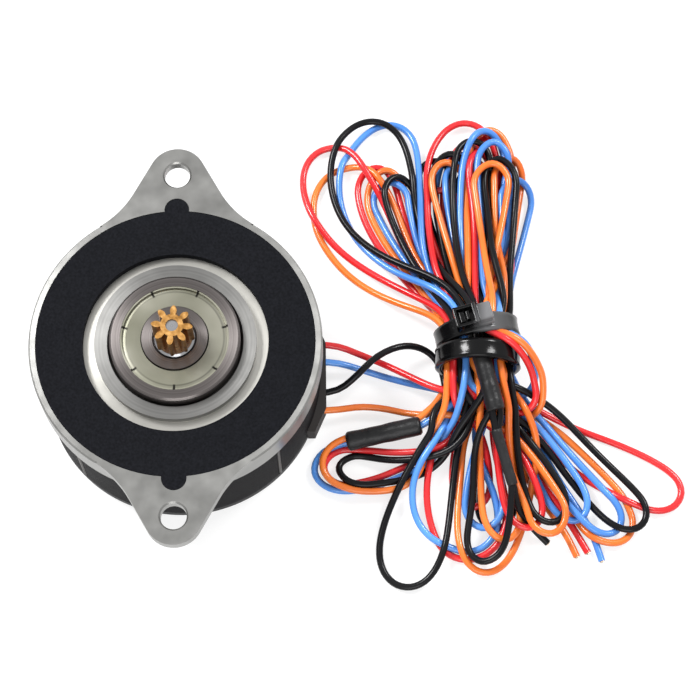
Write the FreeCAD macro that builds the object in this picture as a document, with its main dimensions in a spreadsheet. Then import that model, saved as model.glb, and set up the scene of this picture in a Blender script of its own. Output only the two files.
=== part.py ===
import FreeCAD, Part
import math
import operator
import os

import Sketcher

# Round two-phase hybrid stepper motor with a brass pinion and a tied bundle of four leads.
# Millimetres. The origin is the centre of the rear face, +Z runs along the shaft to the pinion,
# the two mounting ears lie along Y and the leads leave on the +X side.

os.makedirs("parts", exist_ok=True)
document = FreeCAD.newDocument("stepper_motor")

# Driving dimensions
DIMENSIONS = {
    "motor_length": 17.0,
    "flange_diameter": 36.0,
    "flange_height": 4.0,
    "face_edge_chamfer": 0.2,
    "rim_wall": 0.84,
    "plate_thickness": 1.4,
    "hub_wall": 1.94,
    "bearing_shoulder_height": 0.85,
    "bearing_shoulder_width": 1.3,
    "ring_recess_depth": 1.2,
    "ring_hub_gap": 1.45,
    "ring_tab_radius": 1.5,
    "ring_tab_reach": 0.14,
    "ring_sink": 0.05,
    "inlay_clearance": 0.04,
    "ear_spacing": 44.0,
    "ear_end_radius": 3.55,
    "ear_flank_angle": 29.3,
    "ear_root_fillet": 12.0,
    "ear_thickness": 1.5,
    "ear_hole_diameter": 3.2,
    "ear_hole_chamfer": 0.2,
    "spigot_height": 0.8,
    "spigot_wall": 0.35,
    "spigot_clearance": 0.05,
    "stack_step": 0.5,
    "end_ring_wall": 1.7,
    "yoke_wall": 2.0,
    "coil_room_front": 1.7,
    "coil_room_rear": 2.3,
    "pole_count": 8,
    "pole_width": 3.6,
    "pole_tooth_count": 5,
    "shoe_thickness": 0.7,
    "tooth_depth": 0.45,
    "tooth_share": 0.42,
    "air_gap": 0.12,
    "weld_groove_radius": 0.45,
    "weld_groove_depth": 0.15,
    "insulator_thickness": 0.4,
    "insulator_wall": 0.5,
    "insulator_wall_height": 1.2,
    "insulator_inner_step": 0.53,
    "insulator_outer_step": 0.6,
    "coil_thickness": 1.5,
    "coil_side": 2.05,
    "coil_corner_radius": 1.3,
    "coil_clearance": 0.05,
    "rotor_diameter": 19.9,
    "rotor_tooth_count": 50,
    "rotor_end_gap": 0.2,
    "rotor_magnet_height": 1.2,
    "rotor_magnet_setback": 0.65,
    "rotor_recess_clearance": 0.55,
    "front_spacer_wall": 1.0,
    "shaft_diameter": 5.0,
    "shaft_stand_out": 1.7,
    "shaft_end_chamfer": 0.25,
    "shaft_stub_diameter": 1.5,
    "pinion_module": 0.5,
    "pinion_tooth_count": 8,
    "pinion_length": 4.3,
    "pinion_dedendum_ratio": 1.2,
    "pinion_tip_rounding": 0.1,
    "pinion_pressure_angle": 20.0,
    "pinion_first_tooth_angle": 84.5,
    "pinion_stub_recess": 0.25,
    "front_bearing_diameter": 16.0,
    "front_bearing_width": 5.0,
    "front_bearing_proud": 1.45,
    "front_bearing_inner_wall": 1.55,
    "front_bearing_outer_wall": 1.8,
    "front_bearing_seat_step": 0.45,
    "front_bearing_shield_slope": 0.68,
    "front_bearing_ball_radius": 1.35,
    "front_bearing_ball_count": 7,
    "rear_bearing_bore": 4.0,
    "rear_bearing_diameter": 9.0,
    "rear_bearing_width": 4.0,
    "rear_bearing_inner_wall": 0.62,
    "rear_bearing_outer_wall": 0.65,
    "rear_bearing_seat_step": 0.2,
    "rear_bearing_shield_slope": 0.45,
    "rear_bearing_ball_radius": 0.75,
    "rear_bearing_ball_count": 8,
    "bearing_ring_chamfer": 0.25,
    "bearing_seat_clearance": 0.01,
    "pocket_mouth_clearance": 0.35,
    "ball_clearance": 0.04,
    "shield_thickness": 0.2,
    "shield_sink": 0.3,
    "shield_depth": 0.55,
    "shield_clearance": 0.12,
    "shield_notch_count": 7,
    "shield_notch_width": 0.25,
    "cover_floor": 1.4,
    "cover_pocket_floor": 0.9,
    "cover_edge_chamfer": 0.3,
    "cover_boss_wall": 1.2,
    "washer_room": 0.4,
    "washer_thickness": 0.15,
    "washer_wave_count": 3,
    "screw_inset": 3.5,
    "screw_diameter": 2.0,
    "screw_head_diameter": 3.8,
    "screw_head_height": 0.95,
    "screw_head_sink": 0.05,
    "screw_clearance": 0.1,
    "screw_thread_clearance": 0.02,
    "screw_socket_width": 1.5,
    "screw_socket_depth": 0.5,
    "screw_boss_radius": 1.7,
    "exit_stand_out": 0.7,
    "exit_depth": 3.0,
    "exit_shoulder_drop": 1.45,
    "exit_face_inset": 0.13,
    "exit_bevel_width": 3.3,
    "exit_bottom": 0.2,
    "exit_wall": 0.8,
    "exit_clearance": 0.05,
    "lead_diameter": 0.9,
    "lead_inner_offset": 2.1,
    "lead_outer_offset": 4.43,
    "lead_height": 2.0,
    "lead_socket_depth": 1.2,
    "lead_socket_clearance": 0.03,
    "waist_radius": 4.4,
    "strap_thickness": 1.1,
    "strap_width": 2.5,
    "strap_tilt": 9.0,
    "tie_head_width": 5.0,
    "tie_head_length": 3.6,
    "tie_head_height": 2.8,
    "splice_sleeve_radius": 1.25,
    "small_sleeve_radius": 0.7,
}

sheet = document.addObject("Spreadsheet::Sheet", "Sizes")
for row, (alias, value) in enumerate(DIMENSIONS.items(), start=1):
    sheet.set(f"A{row}", alias)
    sheet.set(f"B{row}", str(value))
    sheet.setAlias(f"B{row}", alias)
document.recompute()


class Size:
    """A length, count or angle with the sheet expression that it comes from."""

    def __init__(self, value, text):
        self.value = float(value)
        self.text = text

    def __add__(self, other):
        return joined(self, "+", other)

    def __sub__(self, other):
        return joined(self, "-", other)

    def __mul__(self, other):
        return joined(self, "*", other)

    def __truediv__(self, other):
        return joined(self, "/", other)

    def __radd__(self, other):
        return joined(other, "+", self)

    def __rsub__(self, other):
        return joined(other, "-", self)

    def __rmul__(self, other):
        return joined(other, "*", self)

    def __neg__(self):
        return joined(-1, "*", self)


OPERATIONS = {"+": operator.add, "-": operator.sub, "*": operator.mul, "/": operator.truediv}


def as_size(number):
    return number if isinstance(number, Size) else Size(number, repr(number))


def joined(left, sign, right):
    left, right = as_size(left), as_size(right)
    return Size(OPERATIONS[sign](left.value, right.value), f"({left.text} {sign} {right.text})")


def cosine(degrees):
    degrees = as_size(degrees)
    return Size(math.cos(math.radians(degrees.value)), f"cos({degrees.text} * 1 deg)")


def sine(degrees):
    degrees = as_size(degrees)
    return Size(math.sin(math.radians(degrees.value)), f"sin({degrees.text} * 1 deg)")


def polar(radius, degrees):
    """A point in the plane of the shaft's cross-section, as two sizes."""
    return radius * cosine(degrees), radius * sine(degrees)


def cell(alias):
    return Size(sheet.get(alias), f"Sizes.{alias}")


# Shapes that the sections below share

made = []


def new_body(label):
    body = document.addObject("PartDesign::Body", label)
    body.Label = label
    made.append(body)
    return body


def new_sketch(body, name, role="XY_Plane", level=None):
    """A sketch on one of the body's own origin planes, raised to a level along the shaft."""
    plane = next(feature for feature in body.Origin.OriginFeatures if feature.Role == role)
    sketch = body.newObject("Sketcher::SketchObject", name)
    sketch.AttachmentSupport = [(plane, "")]
    sketch.MapMode = "FlatFace"
    if level is not None:
        sketch.setExpression("AttachmentOffset.Base.z", as_size(level).text)
    return sketch


def dimension(sketch, kind, size, *where):
    """One dimension of a sketch, driven by the sheet."""
    size = as_size(size)
    index = sketch.addConstraint(Sketcher.Constraint(kind, *where, size.value))
    sketch.setExpression(f"Constraints[{index}]", size.text)


def place_point(sketch, geometry, point, x, y):
    """Hold a point of the sketch at x, y from the origin."""
    for kind, axis, size in (("DistanceX", -2, x), ("DistanceY", -1, y)):
        if abs(as_size(size).value) < 1e-9:
            sketch.addConstraint(Sketcher.Constraint("PointOnObject", geometry, point, axis))
        else:
            dimension(sketch, kind, size, -1, 1, geometry, point)


def straight_outline(sketch, corners):
    """A closed outline of straight sides through corners given as pairs of sizes."""
    first = sketch.GeometryCount
    points = [FreeCAD.Vector(as_size(x).value, as_size(y).value, 0) for x, y in corners]
    count = len(points)
    for i in range(count):
        sketch.addGeometry(Part.LineSegment(points[i], points[(i + 1) % count]), False)
    for i in range(count):
        after = first + (i + 1) % count
        sketch.addConstraint(Sketcher.Constraint("Coincident", first + i, 2, after, 1))
    for i, (x, y) in enumerate(corners):
        place_point(sketch, first + i, 1, x, y)


def round_outline(sketch, radius, x=0, y=0):
    """A circle of the sketch, held by its radius and centre."""
    radius = as_size(radius)
    centre = FreeCAD.Vector(as_size(x).value, as_size(y).value, 0)
    circle = Part.Circle(centre, FreeCAD.Vector(0, 0, 1), radius.value)
    index = sketch.addGeometry(circle, False)
    dimension(sketch, "Radius", radius, index)
    if abs(centre.x) < 1e-9 and abs(centre.y) < 1e-9:
        sketch.addConstraint(Sketcher.Constraint("Coincident", index, 3, -1, 1))
    else:
        place_point(sketch, index, 3, x, y)
    return index


def turned(label, corners):
    """A body turned about the shaft axis from a half section of (radius, height) corners."""
    body = new_body(label)
    sketch = new_sketch(body, f"{label}_section", "XZ_Plane")
    straight_outline(sketch, corners)
    spin = body.newObject("PartDesign::Revolution", f"{label}_turning")
    spin.Profile = sketch
    spin.ReferenceAxis = (sketch, ["V_Axis"])
    spin.Angle = 360
    return body


def pad(body, sketch, length, down=False):
    feature = body.newObject("PartDesign::Pad", f"{sketch.Name}_pad")
    feature.Profile = sketch
    feature.setExpression("Length", as_size(length).text)
    feature.Reversed = down
    return feature


def pocket(body, sketch, depth, up=False):
    """Cut down from the sketch, or up, and make sure that it takes material away."""
    document.recompute()
    before = body.Shape.Volume
    feature = body.newObject("PartDesign::Pocket", f"{sketch.Name}_pocket")
    feature.Profile = sketch
    feature.setExpression("Length", as_size(depth).text)
    feature.Reversed = up
    document.recompute()
    if not body.Shape.Volume < before:
        raise RuntimeError(f"{feature.Name} cuts nothing")
    return feature


def around_shaft(body, features, count):
    """Repeat features evenly about the shaft axis."""
    pattern = body.newObject("PartDesign::PolarPattern", f"{features[0].Name}_pattern")
    pattern.Originals = features
    pattern.Axis = (features[0].Profile[0], ["N_Axis"])
    pattern.Angle = 360
    pattern.setExpression("Occurrences", as_size(count).text)
    body.Tip = pattern
    return pattern


def plain_feature(label, shape):
    """A piece made with solid operations on sizes read from the sheet."""
    feature = document.addObject("Part::Feature", label)
    feature.Label = label
    feature.Shape = shape
    made.append(feature)
    return feature


def turned_copies(shape, count, first_angle=0.0, step=None):
    """Copies of a solid about the shaft axis, as separate solids of one group."""
    step = 360.0 / count if step is None else step
    copies = []
    for i in range(count):
        copy = shape.copy()
        copy.rotate(FreeCAD.Vector(), FreeCAD.Vector(0, 0, 1), first_angle + i * step)
        copies.append(copy)
    return Part.makeCompound(copies)


# Heights and radii that several pieces share

face_height = cell("motor_length")
flange_radius = cell("flange_diameter") / 2
flange_bottom = face_height - cell("flange_height")
recess_floor = face_height - cell("ring_recess_depth")
plate_bottom = recess_floor - cell("plate_thickness")
stack_radius = flange_radius - cell("stack_step")
end_ring_radius = stack_radius - cell("end_ring_wall")
slot_radius = stack_radius - cell("yoke_wall")
spigot_radius = end_ring_radius - cell("spigot_clearance")
spigot_inner_radius = spigot_radius - cell("spigot_wall")
cover_top = cell("cover_floor")
toothed_bottom = cover_top + cell("coil_room_rear")
toothed_top = flange_bottom - cell("coil_room_front")
toothed_height = toothed_top - toothed_bottom
rotor_radius = cell("rotor_diameter") / 2
screw_radius = cell("screw_diameter") / 2
screw_hole_radius = screw_radius + cell("screw_clearance")
half_pole_angle = 180.0 / DIMENSIONS["pole_count"]
screw_point = polar(stack_radius - cell("screw_inset"), half_pole_angle)
screw_count = 4

# Front flange
# A turned aluminium end bell: rim, hub, pocket for the front bearing and two drilled ears.

bearing_bottom = face_height + cell("front_bearing_proud") - cell("front_bearing_width")
pocket_radius = cell("front_bearing_diameter") / 2 + cell("bearing_seat_clearance")
pocket_mouth = pocket_radius + cell("pocket_mouth_clearance")
hub_radius = pocket_radius + cell("hub_wall")
hub_bottom = bearing_bottom - cell("bearing_shoulder_height")
lip_radius = pocket_radius - cell("bearing_shoulder_width")
recess_radius = flange_radius - cell("rim_wall")
tab_offset = recess_radius + cell("ring_tab_reach")
chamfer = cell("face_edge_chamfer")

front_flange = turned(
    "front_flange",
    [
        (pocket_radius, bearing_bottom),
        (pocket_radius, face_height - 2 * cell("pocket_mouth_clearance")),
        (pocket_mouth, face_height),
        (flange_radius - chamfer, face_height),
        (flange_radius, face_height - chamfer),
        (flange_radius, flange_bottom),
        (spigot_radius, flange_bottom),
        (spigot_radius, flange_bottom - cell("spigot_height")),
        (spigot_inner_radius, flange_bottom - cell("spigot_height")),
        (spigot_inner_radius, plate_bottom),
        (hub_radius, plate_bottom),
        (hub_radius, hub_bottom),
        (lip_radius, hub_bottom),
        (lip_radius, bearing_bottom),
    ],
)


def ear_outline(sketch):
    """The plan of one ear: end arc, straight flanks, concave roots on the rim and a hidden chord."""
    end_radius, flank = cell("ear_end_radius"), cell("ear_flank_angle")
    root, centre_y = cell("ear_root_fillet"), cell("ear_spacing") / 2
    normal = FreeCAD.Vector(cosine(flank).value, sine(flank).value, 0)
    along = FreeCAD.Vector(normal.y, -normal.x, 0)
    upward = FreeCAD.Vector(0, 0, 1)
    offset = centre_y.value * normal.y + end_radius.value + root.value
    reach = flange_radius.value + root.value
    root_centre = normal * offset - along * math.sqrt(reach**2 - offset**2)
    end_centre = FreeCAD.Vector(0, centre_y.value, 0)
    flank_top = end_centre + normal * end_radius.value
    flank_foot = root_centre - normal * root.value
    rim_point = root_centre * (flange_radius.value / reach)

    def mirrored(point):
        return FreeCAD.Vector(-point.x, point.y, 0)

    def arc(centre, radius, start, end):
        angles = [math.atan2((p - centre).y, (p - centre).x) for p in (start, end)]
        return Part.ArcOfCircle(Part.Circle(centre, upward, radius), *angles)

    left_root = mirrored(root_centre)
    end_arc = arc(end_centre, end_radius.value, flank_top, mirrored(flank_top))
    sketch.addGeometry(end_arc, False)
    sketch.addGeometry(Part.LineSegment(flank_top, flank_foot), False)
    sketch.addGeometry(arc(root_centre, root.value, flank_foot, rim_point), False)
    sketch.addGeometry(Part.LineSegment(rim_point, mirrored(rim_point)), False)
    left_arc = arc(left_root, root.value, mirrored(rim_point), mirrored(flank_foot))
    sketch.addGeometry(left_arc, False)
    sketch.addGeometry(Part.LineSegment(mirrored(flank_foot), mirrored(flank_top)), False)
    sketch.addGeometry(Part.LineSegment(FreeCAD.Vector(), root_centre), True)
    sketch.addGeometry(Part.LineSegment(FreeCAD.Vector(), left_root), True)
    for constraint in (
        ("Tangent", 0, 1, 1, 1),
        ("Tangent", 1, 2, 2, 1),
        ("Coincident", 2, 2, 3, 1),
        ("Coincident", 3, 2, 4, 1),
        ("Tangent", 4, 2, 5, 1),
        ("Tangent", 5, 2, 0, 2),
        ("Coincident", 6, 1, -1, 1),
        ("Coincident", 6, 2, 2, 3),
        ("Coincident", 7, 1, -1, 1),
        ("Coincident", 7, 2, 4, 3),
        ("PointOnObject", 2, 2, 6),
        ("PointOnObject", 4, 1, 7),
        ("Equal", 2, 4),
    ):
        sketch.addConstraint(Sketcher.Constraint(*constraint))
    place_point(sketch, 0, 3, 0, centre_y)
    dimension(sketch, "Radius", end_radius, 0)
    dimension(sketch, "Radius", root, 2)
    dimension(sketch, "Distance", flange_radius + root, 6)
    dimension(sketch, "Distance", flange_radius + root, 7)
    dimension(sketch, "DistanceX", end_radius * cosine(flank), -1, 1, 0, 1)


ear_sketch = new_sketch(front_flange, "ear_plan", level=face_height)
ear_outline(ear_sketch)
around_shaft(front_flange, [pad(front_flange, ear_sketch, cell("ear_thickness"), down=True)], 2)

recess_sketch = new_sketch(front_flange, "ring_recess_plan", level=face_height)
round_outline(recess_sketch, recess_radius)
round_outline(recess_sketch, hub_radius)
pocket(front_flange, recess_sketch, cell("ring_recess_depth"))

tab_sketch = new_sketch(front_flange, "ring_tab_recess_plan", level=face_height)
round_outline(tab_sketch, cell("ring_tab_radius") + cell("inlay_clearance"), 0, tab_offset)
around_shaft(front_flange, [pocket(front_flange, tab_sketch, cell("ring_recess_depth"))], 2)

ear_hole_sketch = new_sketch(front_flange, "ear_hole_plan", level=face_height)
round_outline(ear_hole_sketch, cell("ear_hole_diameter") / 2, 0, cell("ear_spacing") / 2)
around_shaft(front_flange, [pocket(front_flange, ear_hole_sketch, cell("flange_height"))], 2)

boss_sketch = new_sketch(front_flange, "screw_boss_plan", level=flange_bottom)
round_outline(boss_sketch, cell("screw_boss_radius"), *screw_point)
boss_pad = pad(front_flange, boss_sketch, recess_floor - flange_bottom)
around_shaft(front_flange, [boss_pad], screw_count)

tapped_sketch = new_sketch(front_flange, "tapped_hole_plan", level=flange_bottom)
round_outline(tapped_sketch, screw_radius + cell("screw_thread_clearance"), *screw_point)
tapped_depth = plate_bottom - flange_bottom + cell("plate_thickness") / 2
around_shaft(front_flange, [pocket(front_flange, tapped_sketch, tapped_depth, up=True)], screw_count)

document.recompute()
drilled = front_flange.Tip
hole_edges = [
    f"Edge{i}"
    for i, edge in enumerate(front_flange.Shape.Edges, start=1)
    if edge.Curve.TypeId == "Part::GeomCircle"
    and abs(edge.Curve.Radius - cell("ear_hole_diameter").value / 2) < 1e-6
    and abs(edge.Curve.Center.z - face_height.value) < 1e-6
]
hole_chamfer = front_flange.newObject("PartDesign::Chamfer", "ear_hole_edge")
hole_chamfer.Base = (drilled, hole_edges)
hole_chamfer.setExpression("Size", cell("ear_hole_chamfer").text)

# Front ring
# A die-cut fibre ring with two tabs, laid in the recess of the flange.

ring_outer = recess_radius - cell("inlay_clearance")
ring_thickness = cell("ring_recess_depth") - cell("ring_sink")
front_ring = new_body("front_ring")
ring_sketch = new_sketch(front_ring, "front_ring_plan", level=recess_floor)
round_outline(ring_sketch, ring_outer)
round_outline(ring_sketch, hub_radius + cell("ring_hub_gap"))
pad(front_ring, ring_sketch, ring_thickness)
ring_tab_sketch = new_sketch(front_ring, "front_ring_tab_plan", level=recess_floor)
round_outline(ring_tab_sketch, cell("ring_tab_radius"), 0, tab_offset)
around_shaft(front_ring, [pad(front_ring, ring_tab_sketch, ring_thickness)], 2)

# Stator stack
# Welded laminations: plain rings at both ends that house the coil heads, and toothed poles between.

stator_stack = turned(
    "stator_stack",
    [
        (end_ring_radius, cover_top),
        (stack_radius, cover_top),
        (stack_radius, flange_bottom),
        (end_ring_radius, flange_bottom),
        (end_ring_radius, toothed_top),
        (slot_radius, toothed_top),
        (slot_radius, toothed_bottom),
        (end_ring_radius, toothed_bottom),
    ],
)

bore_radius = rotor_radius + cell("air_gap")
groove_radius = bore_radius + cell("tooth_depth")
shoe_radius = groove_radius + cell("shoe_thickness")
tooth_pitch = as_size(360) / cell("rotor_tooth_count")
half_tooth = tooth_pitch * cell("tooth_share") / 2
half_pole_width = cell("pole_width") / 2


def pole_corners():
    """The plan of one pole on the +X side, from the yoke round the shoe with its teeth."""
    teeth = DIMENSIONS["pole_tooth_count"]
    centres = [tooth_pitch * (i - (teeth - 1) / 2) for i in range(teeth)]
    yoke_reach = slot_radius + cell("yoke_wall") / 2
    corners = [(yoke_reach, half_pole_width), (yoke_reach, -half_pole_width)]
    corners += [(shoe_radius, -half_pole_width), polar(shoe_radius, centres[0] - half_tooth)]
    for i, centre in enumerate(centres):
        if i > 0:
            corners.append(polar(groove_radius, centre - half_tooth))
        corners += [polar(bore_radius, centre - half_tooth), polar(bore_radius, centre + half_tooth)]
        if i < teeth - 1:
            corners.append(polar(groove_radius, centre + half_tooth))
    corners += [polar(shoe_radius, centres[-1] + half_tooth), (shoe_radius, half_pole_width)]
    return corners


pole_sketch = new_sketch(stator_stack, "pole_plan", level=toothed_bottom)
straight_outline(pole_sketch, pole_corners())
pole_pad = pad(stator_stack, pole_sketch, toothed_height)
around_shaft(stator_stack, [pole_pad], cell("pole_count"))

weld_sketch = new_sketch(stator_stack, "weld_groove_plan", level=cover_top)
weld_offset = stack_radius + cell("weld_groove_radius") - cell("weld_groove_depth")
round_outline(weld_sketch, cell("weld_groove_radius"), *polar(weld_offset, 45.0))
weld_cut = pocket(stator_stack, weld_sketch, flange_bottom - cover_top, up=True)
around_shaft(stator_stack, [weld_cut], screw_count)

exit_face_half = cell("lead_outer_offset") - cell("exit_face_inset")
exit_half = exit_face_half + cell("exit_bevel_width")
exit_gap = cell("exit_clearance")
exit_reach = stack_radius + cell("exit_stand_out")
exit_inner = exit_reach - cell("exit_depth")
lead_radius = cell("lead_diameter") / 2
exit_top = cell("lead_height") + lead_radius + cell("exit_wall")
notch_sketch = new_sketch(stator_stack, "exit_notch_plan", level=cover_top)
notch_inner = end_ring_radius - cell("end_ring_wall")
straight_outline(
    notch_sketch,
    [
        (notch_inner, -(exit_half + exit_gap)),
        (stack_radius + 1, -(exit_half + exit_gap)),
        (stack_radius + 1, exit_half + exit_gap),
        (notch_inner, exit_half + exit_gap),
    ],
)
pocket(stator_stack, notch_sketch, exit_top + exit_gap - cover_top, up=True)

# Coil insulators
# Moulded end frames: a ring on the yoke, a spoke over each pole and a wall at both ends of each coil.

insulator_thickness = cell("insulator_thickness")
insulator_inner = bore_radius + cell("insulator_inner_step")
insulator_outer = slot_radius - cell("insulator_outer_step")
insulator_ring_inner = spigot_inner_radius - cell("spigot_wall")
spoke_half = half_pole_width + cell("insulator_wall") / 2


def rectangle(sketch, near, far, half_width):
    straight_outline(
        sketch, [(near, -half_width), (far, -half_width), (far, half_width), (near, half_width)]
    )


def insulator(label, seat, down):
    """One end frame, standing up from a toothed face or hanging down from it."""
    far = seat - insulator_thickness if down else seat + insulator_thickness
    low, high = (far, seat) if down else (seat, far)
    body = turned(
        label,
        [
            (insulator_ring_inner, low),
            (spigot_radius, low),
            (spigot_radius, high),
            (insulator_ring_inner, high),
        ],
    )
    wall = cell("insulator_wall")
    plans = (
        ("spoke", insulator_inner, spigot_inner_radius, spoke_half, insulator_thickness),
        ("inner_wall", insulator_inner, insulator_inner + wall, 1.9 * half_pole_width, None),
        ("outer_wall", insulator_outer - wall, insulator_outer, 1.6 * half_pole_width, None),
    )
    pads = []
    for name, near, reach, half_width, height in plans:
        sketch = new_sketch(body, f"{label}_{name}", level=seat)
        rectangle(sketch, near, reach, half_width)
        if height is None:
            height = insulator_thickness + cell("insulator_wall_height")
        pads.append(pad(body, sketch, height, down=down))
    around_shaft(body, pads, cell("pole_count"))
    return body


insulator("front_insulator", toothed_top, down=False)
insulator("rear_insulator", toothed_bottom, down=True)

# Coils
# Eight copper windings round the poles, every second one in the same phase.


def coil_shape():
    """The winding on the +X pole: a rounded frame round the pole and its insulation."""
    gap = cell("coil_clearance").value
    near = (insulator_inner + cell("insulator_wall")).value + gap
    far = (insulator_outer - cell("insulator_wall")).value - gap
    inner_half = spoke_half.value + gap
    outer_half = inner_half + cell("coil_side").value
    hole_low = (toothed_bottom - insulator_thickness).value - gap
    hole_high = (toothed_top + insulator_thickness).value + gap
    thickness = cell("coil_thickness").value

    def block(half, low, high):
        return Part.makeBox(far - near, 2 * half, high - low, FreeCAD.Vector(near, -half, low))

    outer = block(outer_half, hole_low - thickness, hole_high + thickness)
    long_edges = [edge for edge in outer.Edges if abs(edge.tangentAt(0).x) > 0.9]
    outer = outer.makeFillet(cell("coil_corner_radius").value, long_edges)
    return outer.cut(block(inner_half, hole_low, hole_high))


half_count = int(DIMENSIONS["pole_count"] / 2)
plain_feature("phase_a_coils", turned_copies(coil_shape(), half_count))
plain_feature("phase_b_coils", turned_copies(coil_shape(), half_count, 2 * half_pole_angle))

# Rotor
# Two toothed cups with a disc magnet between them, the teeth of one half a pitch past the other's.

magnet_height = cell("rotor_magnet_height")
cup_height = (toothed_height - 2 * cell("rotor_end_gap") - magnet_height) / 2
rotor_bottom = toothed_bottom + cell("rotor_end_gap")
magnet_bottom = rotor_bottom + cup_height
front_cup_bottom = magnet_bottom + magnet_height
rotor_top = front_cup_bottom + cup_height
shaft_radius = cell("shaft_diameter") / 2
bore_fit = cell("bearing_seat_clearance")
washer_floor = cell("cover_pocket_floor")
rear_bearing_bottom = washer_floor + cell("washer_room")
rear_bearing_top = rear_bearing_bottom + cell("rear_bearing_width")
boss_inner = cell("rear_bearing_diameter") / 2 + bore_fit
boss_outer = boss_inner + cell("cover_boss_wall")
recess_top = rear_bearing_top + cell("rotor_recess_clearance")
cup_recess_radius = boss_outer + cell("rotor_recess_clearance")


def toothed_cup(label, corners, bottom, phase):
    """A rotor cup turned from its section, with the gaps between its teeth cut round it."""
    body = turned(label, corners)
    sketch = new_sketch(body, f"{label}_gap", level=bottom)
    gap_start = half_tooth + phase
    gap_end = tooth_pitch - half_tooth + phase
    floor, outside = rotor_radius - cell("tooth_depth"), rotor_radius + cell("tooth_depth")
    straight_outline(
        sketch,
        [
            polar(floor, gap_start),
            polar(outside, gap_start),
            polar(outside, gap_end),
            polar(floor, gap_end),
        ],
    )
    cut = pocket(body, sketch, cup_height, up=True)
    around_shaft(body, [cut], cell("rotor_tooth_count"))
    return body


toothed_cup(
    "rear_rotor_cup",
    [
        (shaft_radius + bore_fit, recess_top),
        (cup_recess_radius, recess_top),
        (cup_recess_radius, rotor_bottom),
        (rotor_radius, rotor_bottom),
        (rotor_radius, magnet_bottom),
        (shaft_radius + bore_fit, magnet_bottom),
    ],
    rotor_bottom,
    tooth_pitch / 2,
)
toothed_cup(
    "front_rotor_cup",
    [
        (shaft_radius + bore_fit, front_cup_bottom),
        (rotor_radius, front_cup_bottom),
        (rotor_radius, rotor_top),
        (shaft_radius + bore_fit, rotor_top),
    ],
    front_cup_bottom,
    as_size(0.0),
)
magnet_radius = rotor_radius - cell("rotor_magnet_setback")
turned(
    "rotor_magnet",
    [
        (shaft_radius + bore_fit, magnet_bottom),
        (magnet_radius, magnet_bottom),
        (magnet_radius, front_cup_bottom),
        (shaft_radius + bore_fit, front_cup_bottom),
    ],
)
turned(
    "front_spacer",
    [
        (shaft_radius + bore_fit, rotor_top),
        (shaft_radius + cell("front_spacer_wall"), rotor_top),
        (shaft_radius + cell("front_spacer_wall"), bearing_bottom),
        (shaft_radius + bore_fit, bearing_bottom),
    ],
)

# Shaft
# Ground steel, stepped down to the rear journal and to the stub that carries the pinion.

journal_radius = cell("rear_bearing_bore") / 2
shaft_end = face_height + cell("shaft_stand_out")
stub_radius = cell("shaft_stub_diameter") / 2
end_chamfer = cell("shaft_end_chamfer")
pinion_bottom = shaft_end + cell("inlay_clearance")
pinion_top = pinion_bottom + cell("pinion_length")

turned(
    "shaft",
    [
        (0, rear_bearing_bottom),
        (journal_radius - end_chamfer, rear_bearing_bottom),
        (journal_radius, rear_bearing_bottom + end_chamfer),
        (journal_radius, rear_bearing_top),
        (shaft_radius, rear_bearing_top),
        (shaft_radius, shaft_end - end_chamfer),
        (shaft_radius - end_chamfer, shaft_end),
        (stub_radius, shaft_end),
        (stub_radius, pinion_top - cell("pinion_stub_recess")),
        (0, pinion_top - cell("pinion_stub_recess")),
    ],
)

# Pinion
# Eight involute teeth of module 0.5 cut on a brass blank that is pressed on the stub.


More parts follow.
